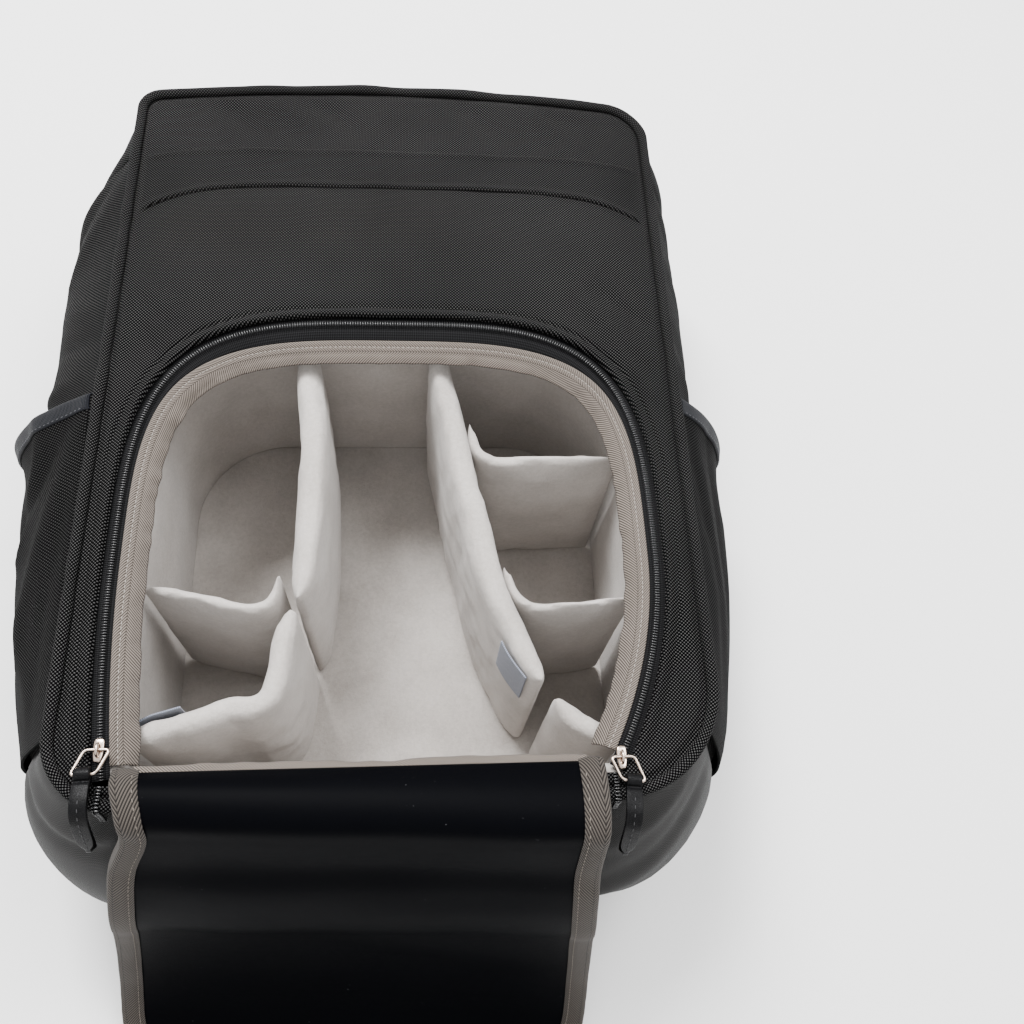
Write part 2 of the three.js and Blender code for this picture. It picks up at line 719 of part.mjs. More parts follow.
// The strip round the flap's free edge, from the left foot round the end to the right foot
function flapEdgeStrip(low, high, width) {
  const last = flapStations[FLAP_STEPS];
  const left = flapStations.map((share) => [share * FLAP_LENGTH, -flapHalfWidth(share)]);
  const right = left.map(([along, across]) => [along, -across]).reverse();
  const middle = [-0.5, 0, 0.5].map((part) => [last * FLAP_LENGTH, part * flapHalfWidth(last)]);
  const edge = new Route([...left, ...middle, ...right]);
  const steps = edge.points.length - 1;
  const surface = (u, v, lift) => {
    const share = edge.lengths[Math.round(u * steps)] / edge.length;
    const [along, across] = edge.offset(share, width * v);
    return flapPoint(along / FLAP_LENGTH, across, lift);
  };
  return sheet(steps, 1, (u, v) => surface(u, v, high), (u, v) => surface(u, v, low));
}

function side(name, left, right) {
  return name === 'left' ? left : right;
}

// A pocket of cloth that stands off the gusset, open at its mouth towards the bag's top
function pocketPoint(name, u, v, lift) {
  const toShare = side(name, leftShare, rightShare);
  const end = BODY_BOTTOM_Y + side(name, BASE_SEAM_LEFT, BASE_SEAM_RIGHT);
  const level = lerp(0.04, 0.955, v);
  const standoff = side(name, POCKET_STANDOFF_LEFT, POCKET_STANDOFF_RIGHT);
  const stand = standoff * (1 - u ** 2.5) * Math.sin(Math.PI * v) ** 0.7;
  return wallPoint(toShare(lerp(POCKET_MOUTH_Y, end, u)), level, 2 * GAP + stand + lift);
}

function pocket(name) {
  return sheet(9, POCKET_LEVELS,
    (u, v) => pocketPoint(name, u, v, POCKET_CLOTH),
    (u, v) => pocketPoint(name, u, v, 0));
}

function pocketHem(name) {
  const length = POCKET_MOUTH_Y - BODY_BOTTOM_Y - side(name, BASE_SEAM_LEFT, BASE_SEAM_RIGHT);
  const share = POCKET_HEM / length;
  const low = POCKET_CLOTH + 3 * GAP;
  return sheet(1, POCKET_LEVELS,
    (u, v) => pocketPoint(name, u * share, v, low + BINDING_THICKNESS),
    (u, v) => pocketPoint(name, u * share, v, low));
}

function zipStrip(inside, outside, depth, thickness, steps, footY = HINGE_Y + ZIP_FOOT_GAP) {
  const shares = zip.stations(zip.shareAtY(footY, 0, 0.4), zip.shareAtY(footY, 1, 0.6), steps);
  const share = (u) => shares[Math.round(u * steps)];
  const offset = (v) => lerp(outside, -inside, v);
  return sheet(steps, 1,
    (u, v) => besideZip(share(u), offset(v), depth),
    (u, v) => besideZip(share(u), offset(v), depth + thickness));
}

function hingeBinding() {
  const [left] = zip.at(0);
  const [right] = zip.at(1);
  const low = INSERT_RIM_Z + GAP;
  const near = HINGE_Y + INSERT_WALL + GAP;
  const surface = (u, v, lift) => {
    const x = lerp(left + BINDING_WIDTH, right - BINDING_WIDTH, u);
    const rise = Math.sin(Math.PI * v) * BINDING_THICKNESS;
    return [x, lerp(near, near - INSERT_WALL, v), low + rise + lift];
  };
  return sheet(12, 2, (u, v) => surface(u, v, BINDING_THICKNESS), (u, v) => surface(u, v, 0));
}

// The closed end of the zip, over the seam and down the base panel, in Y and Z
function zipTailRoute(share) {
  const [, y] = outline.at(share);
  const centre = y - PIPING_OUTSET;
  const radius = PIPING_RADIUS + GAP;
  const over = arcPoints(centre, FRONT_Z, radius, 100, 195, 6);
  const down = [0.955, 0.93, 0.9, 0.87].map((level) => {
    const [, wallY, wallZ] = wallPoint(share, level, 2 * GAP);
    return [wallY, wallZ];
  });
  const start = [HINGE_Y, FRONT_Z + FRONT_DOME * GAP + GAP];
  return new Route(curvePoints([start, ...over, ...down], 40));
}

function zipTail(name) {
  const [footX] = zip.at(side(name, 0, 1));
  const turn = -footX / outline.length;
  const route = zipTailRoute(turn);
  const rows = 10;
  const surface = (u, v, lift) => {
    const share = (u * ZIP_TAIL_LENGTH) / route.length;
    const [y, z] = route.offset(share, -lift);
    return [footX + lerp(-ZIP_CHAIN_WIDTH / 2, ZIP_CHAIN_WIDTH / 2, v), y, z];
  };
  return sheet(rows, 1, (u, v) => surface(u, v, ZIP_CHAIN_HEIGHT / 2), (u, v) => surface(u, v, 0));
}

// A slider with the bridge that its ring passes under, as a side view pulled across
function sliderShape() {
  const half = SLIDER_LENGTH / 2;
  const plateHeight = SLIDER_HEIGHT * 0.36;
  const shape = new THREE.Shape();
  shape.moveTo(-half, 0);
  shape.lineTo(half, 0);
  shape.lineTo(half, plateHeight);
  shape.lineTo(half * 0.62, plateHeight);
  shape.lineTo(half * 0.52, SLIDER_HEIGHT);
  shape.lineTo(-half * 0.52, SLIDER_HEIGHT);
  shape.lineTo(-half * 0.62, plateHeight);
  shape.lineTo(-half, plateHeight);
  shape.closePath();
  const hole = new THREE.Path();
  const inner = half * 0.42;
  const floor = plateHeight * 0.9;
  hole.moveTo(-inner, floor);
  hole.lineTo(inner, floor);
  hole.lineTo(inner, SLIDER_HEIGHT - 1);
  hole.lineTo(-inner, SLIDER_HEIGHT - 1);
  hole.closePath();
  shape.holes.push(hole);
  return shape;
}

// Where a slider sits on the zip, and the frame that its pull lies in
function sliderFrame(name) {
  const y = HINGE_Y + side(name, SLIDER_LEFT_REACH, SLIDER_RIGHT_REACH);
  const share = side(name, zip.shareAtY(y, 0, 0.4), zip.shareAtY(y, 1, 0.6));
  const [x, sy] = zip.at(share);
  const z = frontZ(x, sy) + GAP;
  return { x, y: sy, z };
}

function slider(name) {
  const { x, y, z } = sliderFrame(name);
  const geometry = new THREE.ExtrudeGeometry(sliderShape(), { depth: SLIDER_WIDTH, bevelEnabled: false });
  geometry.translate(0, 0, -SLIDER_WIDTH / 2);
  geometry.rotateX(Math.PI / 2);
  geometry.rotateZ(Math.PI / 2);
  return geometry.translate(x, y, z);
}

// The way each ring and each tab points in plan, in degrees
const RING_ANGLE = { left: -112, right: -70 };
const TAB_ANGLE = { left: -88, right: -96 };

function planVector(degrees) {
  const angle = THREE.MathUtils.degToRad(degrees);
  return new THREE.Vector3(Math.cos(angle), Math.sin(angle), 0);
}

// Where the ring passes under its slider's bridge, and where it holds the tab
function pullPlaces(name) {
  const { x, y, z } = sliderFrame(name);
  const bridge = new THREE.Vector3(x, y, z + SLIDER_HEIGHT * 0.36 + RING_WIRE + 2 * GAP);
  const bar = bridge.clone().addScaledVector(planVector(RING_ANGLE[name]), RING_LENGTH);
  bar.z = FRONT_Z + PIPING_RADIUS + RING_WIRE + TAB_THICKNESS / 2 + 2 * GAP;
  return { bridge, bar };
}

// A wire ring with one side square to the zip and the other square to its tab
function pullRing(name) {
  const { bridge, bar } = pullPlaces(name);
  const half = RING_WIDTH / 2;
  const sideways = planVector(TAB_ANGLE[name] + 90);
  const corners = [
    bridge.clone().add(new THREE.Vector3(-half, 0, 0)),
    bridge.clone().add(new THREE.Vector3(half, 0, 0)),
    bar.clone().addScaledVector(sideways, half),
    bar.clone().addScaledVector(sideways, -half),
  ];
  const path = corners.flatMap((corner, i) => {
    const before = corners[(i + 3) % 4].clone().sub(corner).normalize();
    const after = corners[(i + 1) % 4].clone().sub(corner).normalize();
    return [
      corner.clone().addScaledVector(before, RING_CORNER),
      corner.clone().addScaledVector(before, RING_CORNER * 0.3).addScaledVector(after, RING_CORNER * 0.3),
      corner.clone().addScaledVector(after, RING_CORNER),
    ];
  });
  return closedTube(path, RING_WIRE, 6, new THREE.Vector3(0, 0, 1));
}

// The tab's side view as shares of its length: it rises over the piping and falls down
// the base
const TAB_SIDE_VIEW = [
  { run: 0, rise: 0 }, { run: 0.15, rise: 0.03 }, { run: 0.28, rise: 0.055 },
  { run: 0.42, rise: 0.05 }, { run: 0.53, rise: -0.02 }, { run: 0.62, rise: -0.16 },
  { run: 0.72, rise: -0.36 }, { run: 0.80, rise: -0.55 },
];

// A leather tab: a loop round the ring's bar and a strip, as a side view pulled across
function pullTab(name) {
  const { bar } = pullPlaces(name);
  const inner = RING_WIRE + GAP;
  const outer = inner + TAB_THICKNESS / 2;
  const middle = new Route(curvePoints(
    TAB_SIDE_VIEW.map(({ run, rise }) => [run * TAB_LENGTH, rise * TAB_LENGTH]), 40));
  const half = TAB_THICKNESS / 2;
  const edge = (sign) => [0.18, 0.3, 0.42, 0.52, 0.6, 0.68, 0.78, 0.89, 1].map((share) => {
    const [x, y] = middle.offset(share, sign * half);
    return new THREE.Vector2(x, y);
  });
  const loop = arcPoints(0, 0, outer, 75, 285, 7).map(([x, y]) => new THREE.Vector2(x, y));
  const shape = new THREE.Shape([...loop, ...edge(-1), ...edge(1).reverse()]);
  const hole = new THREE.Path(arcPoints(0, 0, inner, 0, 315, 7).map(([x, y]) => new THREE.Vector2(x, y)));
  shape.holes.push(hole);
  const width = TAB_WIDTH;
  const geometry = new THREE.ExtrudeGeometry(shape, { depth: width, bevelEnabled: false });
  geometry.translate(0, 0, -width / 2);
  const run = planVector(TAB_ANGLE[name]);
  const up = new THREE.Vector3(0, 0, 1);
  geometry.applyMatrix4(new THREE.Matrix4().makeBasis(run, up, run.clone().cross(up)));
  return geometry.translate(bar.x, bar.y, bar.z);
}

// Shoulder strap: a padded board on the ground side, its route as shares of the body
const STRAP_ROUTE = [[0.25, 0.88], [0.34, 0.74], [0.46, 0.54], [0.54, 0.25], [0.56, 0.0], [0.56, -0.25]];
const WEBBING_ROUTE = [[0.56, -0.262], [0.63, -0.48], [0.78, -0.74]];

function strapRoute(sign, table) {
  return new Route(curvePoints(table.map(([x, y]) => [
    sign * x * BODY_HALF_WIDTH,
    y * (y > 0 ? BODY_TOP_Y : -BODY_BOTTOM_Y),
  ])));
}

function shoulderStrap(sign) {
  const route = strapRoute(sign, STRAP_ROUTE);
  const low = GAP / 2;
  const edge = STRAP_THICKNESS * 0.25;
  const surface = (u, v, top) => {
    const half = (STRAP_WIDTH / 2) * lerp(1, 0.62, smooth((u - 0.55) / 0.45)) * lerp(0.8, 1, smooth(u * 6));
    const across = lerp(-1, 1, v);
    const [x, y] = route.offset(u, across * half);
    const crown = Math.abs(across) === 1 ? edge : 0;
    return [x, y, top ? low + STRAP_THICKNESS - crown : low + crown];
  };
  return sheet(10, 4, (u, v) => surface(u, v, true), (u, v) => surface(u, v, false));
}

function strapWebbing(sign) {
  const route = strapRoute(sign, WEBBING_ROUTE);
  const high = BACK_Z - GAP;
  const surface = (u, v, z) => {
    const [x, y] = route.offset(u, lerp(-1, 1, v) * (WEBBING_WIDTH / 2));
    return [x, y, z];
  };
  return sheet(6, 1, (u, v) => surface(u, v, high), (u, v) => surface(u, v, high - WEBBING_THICKNESS));
}

function grabHandle() {
  const level = 0.14;
  const low = BACK_Z + BODY_DEPTH * level - WEBBING_WIDTH / 2;
  const topLevel = level + WEBBING_WIDTH / 2 / BODY_DEPTH;
  const crown = BODY_TOP_Y + TOP_EDGE_BOW + BULGE_TOP * Math.sin(Math.PI * topLevel);
  const surface = (u, v, lift) => {
    const t = 2 * u - 1;
    const x = (HANDLE_SPAN / 2) * t;
    const foot = crown - TOP_EDGE_BOW * (x / BODY_HALF_WIDTH) ** 2;
    const y = foot + GAP + HANDLE_RISE * (1 - t ** 4) + lift;
    return [x, y, lerp(low, low + WEBBING_WIDTH, v)];
  };
  return sheet(12, 1, (u, v) => surface(u, v, WEBBING_THICKNESS * 1.5), (u, v) => surface(u, v, 0));
}

const BALLISTIC = { color: 0x26262a, roughness: 0.85 };
const BASE_CLOTH = { color: 0x3a3a3b, roughness: 0.7 };
const LINING = { color: 0x1b1c22, roughness: 0.6 };
const FLEECE = { color: 0xc4c0bb, roughness: 0.95 };
const TAPE = { color: 0x857a70, roughness: 0.85 };
const ZIP_BLACK = { color: 0x151517, roughness: 0.5 };
const LEATHER = { color: 0x17181b, roughness: 0.5 };
const METAL = { color: 0xc9b8a6, roughness: 0.25, metalness: 1 };
const HEM = { color: 0x23252c, roughness: 0.6 };
const GROSGRAIN = { color: 0x7b808e, roughness: 0.85 };
const PAD = { color: 0x2b2b2d, roughness: 0.9 };
const WEBBING = { color: 0x1c1c1e, roughness: 0.75 };

const bag = new THREE.Group();

function add(name, geometry, finish) {
  const mesh = new THREE.Mesh(geometry, new THREE.MeshStandardMaterial(finish));
  mesh.name = name;
  bag.add(mesh);
}

// Shell
const sideFrom = leftShare(BODY_BOTTOM_Y + BASE_SEAM_LEFT);
const sideTo = leftShare(GUSSET_SEAM_Y);
const farFrom = rightShare(GUSSET_SEAM_Y);
const farTo = rightShare(BODY_BOTTOM_Y + BASE_SEAM_RIGHT);
add('front_panel', frontPanel(), BALLISTIC);
add('front_band', frontBand(), BALLISTIC);
add('front_piping', frontPiping(), BALLISTIC);
add('side_panel_left', gussetPanel(sideFrom, sideTo, 10, 6), BALLISTIC);
add('side_panel_right', gussetPanel(farFrom, farTo, 13, 6), BALLISTIC);
add('top_panel', gussetPanel(sideTo, farFrom, 20, 5), BALLISTIC);
add('base_panel', gussetPanel(farTo - 1, sideFrom, 20, 6), BASE_CLOTH);
add('back_panel', plate(outline, CLOTH + 4 * GAP, BACK_Z, BACK_Z + BACK_PANEL_THICKNESS, 60), PAD);

// Camera compartment
add('insert_floor', plate(insert, -INSERT_WALL, INSERT_FLOOR_Z, INSERT_INSIDE_Z, 40), FLEECE);
add('insert_wall', insertWall(), FLEECE);
add('divider_long_left', divider('long_left', LONG_DIVIDER_THICKNESS, LONG_DIVIDER_DROP, 10), FLEECE);
add('divider_lower_left', divider('lower_left', LONG_DIVIDER_THICKNESS, LONG_DIVIDER_DROP, 14), FLEECE);
add('divider_cross_left', divider('cross_left', CROSS_DIVIDER_THICKNESS, CROSS_DIVIDER_DROP, 12), FLEECE);
add('divider_long_right', divider('long_right', LONG_DIVIDER_THICKNESS, LONG_DIVIDER_DROP, 14), FLEECE);
add('divider_lower_right', divider('lower_right', LONG_DIVIDER_THICKNESS, LONG_DIVIDER_DROP, 8), FLEECE);
for (const name of ['cross_right_upper', 'cross_right_lower']) {
  add(`divider_${name}`, divider(name, CROSS_DIVIDER_THICKNESS, CROSS_DIVIDER_DROP, 12), FLEECE);
}
add('patch_right', patch('long_right', LONG_DIVIDER_THICKNESS, LONG_DIVIDER_DROP, 0.88, -1), GROSGRAIN);
add('patch_left', patch('lower_left', LONG_DIVIDER_THICKNESS, LONG_DIVIDER_DROP, 0.86, -1), GROSGRAIN);

// Opening: zip and tape binding
const chainDepth = FRONT_CLOTH + GAP;
add('zip_tape', zipStrip(ZIP_TAPE_INSIDE, ZIP_TAPE_OUTSIDE, chainDepth, ZIP_TAPE_THICKNESS, ZIP_STEPS), ZIP_BLACK);
add('zip_chain', zipStrip(ZIP_CHAIN_WIDTH / 2, ZIP_CHAIN_WIDTH / 2, chainDepth - GAP - ZIP_CHAIN_HEIGHT,
  ZIP_CHAIN_HEIGHT, ZIP_STEPS), ZIP_BLACK);
add('opening_binding', zipStrip(ZIP_TAPE_INSIDE + BINDING_WIDTH, -ZIP_TAPE_INSIDE - GAP, FRONT_CLOTH - 0.5,
  BINDING_THICKNESS, ZIP_STEPS, INSERT_BOTTOM_Y + INSERT_WALL / 4 + GAP), TAPE);
add('hinge_binding', hingeBinding(), TAPE);

// Flap
const shellTop = FLAP_SHELL / 2;
const liningTop = shellTop + GAP + FLAP_LINING;
add('flap_shell', flapLayer(-shellTop, shellTop, 0), BALLISTIC);
add('flap_lining', flapLayer(shellTop + GAP, liningTop, GAP), LINING);
const tapeLow = liningTop + 3 * GAP;
add('flap_binding', flapEdgeStrip(tapeLow, tapeLow + BINDING_THICKNESS, FLAP_BINDING_WIDTH), TAPE);

// Both sides
for (const name of ['left', 'right']) {
  const sign = side(name, -1, 1);
  add(`pocket_${name}`, pocket(name), BALLISTIC);
  add(`pocket_hem_${name}`, pocketHem(name), HEM);
  add(`zip_tail_${name}`, zipTail(name), ZIP_BLACK);
  add(`slider_${name}`, slider(name), METAL);
  add(`pull_ring_${name}`, pullRing(name), METAL);
  add(`pull_tab_${name}`, pullTab(name), LEATHER);
  add(`shoulder_strap_${name}`, shoulderStrap(sign), PAD);
  add(`strap_webbing_${name}`, strapWebbing(sign), WEBBING);
}

// Back
const lumbarY = -SPINE_PAD_LENGTH / 2 - LUMBAR_PAD_LENGTH / 2 - 6;
add('spine_pad', plate(roundedRectangle(0, 0, SPINE_PAD_WIDTH, SPINE_PAD_LENGTH, 20), 0, 0, PAD_THICKNESS, 28), PAD);
add('lumbar_pad', plate(roundedRectangle(0, lumbarY, LUMBAR_PAD_WIDTH, LUMBAR_PAD_LENGTH, 14), 0, 0,
  PAD_THICKNESS, 28), PAD);
add('grab_handle', grabHandle(), WEBBING);

export default bag;
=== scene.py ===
"""Camera backpack lying on its back, its front zip open and the flap folded down.

Every cloth panel is a surface worked out on a grid, in millimetres, from the same sizes
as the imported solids, and is put into its mesh in metres.
"""

import logging
import math
from dataclasses import dataclass, field
from enum import Enum
from typing import Callable, Sequence

import bpy
import numpy as np
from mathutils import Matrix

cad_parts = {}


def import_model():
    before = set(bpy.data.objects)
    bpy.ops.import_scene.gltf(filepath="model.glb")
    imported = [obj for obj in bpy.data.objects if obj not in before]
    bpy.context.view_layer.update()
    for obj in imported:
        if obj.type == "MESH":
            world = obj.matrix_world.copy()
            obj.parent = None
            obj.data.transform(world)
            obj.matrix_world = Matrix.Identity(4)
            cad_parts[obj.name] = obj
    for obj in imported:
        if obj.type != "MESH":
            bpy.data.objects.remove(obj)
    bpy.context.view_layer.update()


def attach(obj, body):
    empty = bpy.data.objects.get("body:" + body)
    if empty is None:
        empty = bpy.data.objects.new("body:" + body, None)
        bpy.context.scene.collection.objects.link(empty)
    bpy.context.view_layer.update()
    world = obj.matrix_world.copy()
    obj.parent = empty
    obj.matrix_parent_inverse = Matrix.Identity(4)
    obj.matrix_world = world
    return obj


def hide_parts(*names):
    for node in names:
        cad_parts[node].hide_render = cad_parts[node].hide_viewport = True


LOG = logging.getLogger("backpack")
MM = 0.001
ROOT = "root"

Array = np.ndarray


class Side(Enum):
    """A side of the bag, as someone who looks at its front sees it."""

    LEFT = "left"
    RIGHT = "right"

    @property
    def sign(self) -> int:
        """The side's direction along X."""
        return -1 if self is Side.LEFT else 1


def lerp(a: Array | float, b: Array | float, t: Array | float) -> Array | float:
    """A straight mix from a to b."""
    return a + (b - a) * t


def smooth(t: Array | float) -> Array:
    """The cubic ease from 0 to 1, flat at both ends."""
    c = np.clip(t, 0.0, 1.0)
    return c * c * (3.0 - 2.0 * c)


def bell(t: Array | float) -> Array:
    """A round bump: 1 at 0 and near 0 past 2."""
    return np.exp(-np.square(t))


def shares(count: int) -> Array:
    """Even shares from 0 to 1."""
    return np.linspace(0.0, 1.0, count)


def edge_shares(count: int, crowd: float = 0.5) -> Array:
    """Shares from 0 to 1 that lie closer together near both ends.

    Args:
        count: How many shares.
        crowd: 0 for even spacing, 1 for a full cosine spacing.

    Returns:
        The shares, in order.
    """
    even = shares(count)
    return lerp(even, 0.5 - 0.5 * np.cos(np.pi * even), crowd)


class Route:
    """A flat route through points, with the unit normal on its left hand."""

    def __init__(self, points: Array, closed: bool = False) -> None:
        """Measures the route.

        Args:
            points: The points, one row each.
            closed: Whether the last point joins the first.
        """
        rows = np.asarray(points, dtype=float)
        if closed:
            rows = np.vstack([rows, rows[:1]])
        keep = np.r_[True, np.linalg.norm(np.diff(rows, axis=0), axis=1) > 1e-9]
        self.points = rows[keep]
        steps = np.linalg.norm(np.diff(self.points, axis=0), axis=1)
        self.lengths = np.r_[0.0, np.cumsum(steps)]
        self.length = float(self.lengths[-1])
        self.closed = closed

    def at(self, share: Array) -> Array:
        """Points at shares of the length."""
        wrapped = np.mod(share, 1.0) if self.closed else np.clip(share, 0.0, 1.0)
        target = wrapped * self.length
        return np.stack([np.interp(target, self.lengths, c) for c in self.points.T], axis=-1)

    def normal(self, share: Array, reach: float = 3.0) -> Array:
        """Unit normals on the left hand, from the points a little before and after."""
        step = reach / self.length
        share = np.asarray(share, dtype=float)
        low, high = share - step, share + step
        if not self.closed:
            low, high = np.maximum(low, 0.0), np.minimum(high, 1.0)
        run = self.at(high) - self.at(low)
        run /= np.linalg.norm(run, axis=-1, keepdims=True)
        return np.stack([-run[..., 1], run[..., 0]], axis=-1)

    def offset(self, share: Array, distance: Array | float, reach: float = 3.0) -> Array:
        """Points moved along the normal by a distance."""
        return self.at(share) + self.normal(share, reach) * np.asarray(distance)[..., None]

    def share_at_y(self, y: float, start: float, end: float) -> float:
        """The first share between two shares where the route crosses a height."""
        trial = np.linspace(start, end, 2001)
        above = self.at(trial)[:, 1] - y
        hits = np.nonzero(above[:-1] * above[1:] <= 0)[0]
        if len(hits) == 0:
            return end
        i = hits[0]
        t = above[i] / (above[i] - above[i + 1]) if above[i] != above[i + 1] else 0.0
        return float(lerp(trial[i], trial[i + 1], t))


def spline(points: Sequence[Sequence[float]], count: int = 240) -> Array:
    """A smooth curve through points: a centripetal Catmull-Rom spline.

    Args:
        points: The points, each with two or three numbers.
        count: How many points to return.

    Returns:
        The curve's points, even in share of the knots.
    """
    p = np.asarray(points, dtype=float)
    p = np.vstack([2 * p[0] - p[1], p, 2 * p[-1] - p[-2]])
    knots = np.r_[0.0, np.cumsum(np.sqrt(np.linalg.norm(np.diff(p, axis=0), axis=1)))]
    t = np.linspace(knots[1], knots[-2], count)
    i = np.clip(np.searchsorted(knots, t, side="right") - 1, 1, len(p) - 3)

    def mix(a: Array, b: Array, ka: Array, kb: Array) -> Array:
        """A straight mix between two rows of points at the knots' own pace."""
        return a + (b - a) * ((t - ka) / (kb - ka))[:, None]

    k = [knots[i + n] for n in (-1, 0, 1, 2)]
    q = [p[i + n] for n in (-1, 0, 1, 2)]
    a1, a2, a3 = mix(q[0], q[1], k[0], k[1]), mix(q[1], q[2], k[1], k[2]), mix(q[2], q[3], k[2], k[3])
    b1, b2 = mix(a1, a2, k[0], k[2]), mix(a2, a3, k[1], k[3])
    return mix(b1, b2, k[1], k[2])


def arc(cx: float, cy: float, radius: float, start: float, end: float, count: int = 11) -> Array:
    """Points on an arc between two angles in degrees."""
    angle = np.radians(np.linspace(start, end, count))
    return np.stack([cx + radius * np.cos(angle), cy + radius * np.sin(angle)], axis=-1)


@dataclass(frozen=True)
class Crease:
    """A soft fold in a cloth: a ridge or groove along a straight line.

    The line runs from (u0, v0) to (u1, v1) in the surface's own millimetres. height is
    the fold's height, below 0 for a groove, and width its half width.
    """

    u0: float
    v0: float
    u1: float
    v1: float
    width: float
    height: float


def relief(u: Array, v: Array, creases: Sequence[Crease]) -> Array:
    """Adds up creases: each is its height times a bell of the distance from its line.

    Args:
        u: First coordinate of each point, in mm.
        v: Second coordinate, in mm.
        creases: The folds.

    Returns:
        The height at each point.
    """
    total = np.zeros(np.broadcast(u, v).shape)
    for c in creases:
        du, dv = c.u1 - c.u0, c.v1 - c.v0
        span = du * du + dv * dv
        t = ((u - c.u0) * du + (v - c.v0) * dv) / span
        near = np.clip(t, 0.0, 1.0)
        gap = np.hypot(u - c.u0 - near * du, v - c.v0 - near * dv)
        fade = 0.55 + 0.45 * np.sin(np.pi * near)
        total += c.height * fade * bell(gap / c.width)
    return total


def ripple(u: Array, v: Array, size: float, seed: int, layers: int = 9) -> Array:
    """Soft uneven cloth: a seeded sum of sine waves in all directions, about -1 to 1."""
    rng = np.random.default_rng(seed)
    total = np.zeros(np.broadcast(u, v).shape)
    for _ in range(layers):
        angle, phase = rng.uniform(0, 2 * np.pi, 2)
        wave = size * rng.uniform(0.6, 1.7)
        along = u * np.cos(angle) + v * np.sin(angle)
        total += np.sin(2 * np.pi * along / wave + phase)
    return total / math.sqrt(layers)


def grid_normals(grid: Array, wrap: bool = False) -> Array:
    """Unit normals of a grid of points, from the cross product of its two runs."""
    if wrap:
        du = np.roll(grid, -1, axis=0) - np.roll(grid, 1, axis=0)
    else:
        du = np.gradient(grid, axis=0)
    dv = np.gradient(grid, axis=1)
    n = np.cross(du, dv)
    return n / np.maximum(np.linalg.norm(n, axis=-1, keepdims=True), 1e-12)


def run_lengths(grid: Array) -> tuple[Array, Array]:
    """Lengths along both directions of a grid, measured on its middle lines."""
    du = np.linalg.norm(np.diff(grid, axis=0), axis=-1).mean(axis=1)
    dv = np.linalg.norm(np.diff(grid, axis=1), axis=-1).mean(axis=0)
    return np.r_[0.0, np.cumsum(du)], np.r_[0.0, np.cumsum(dv)]


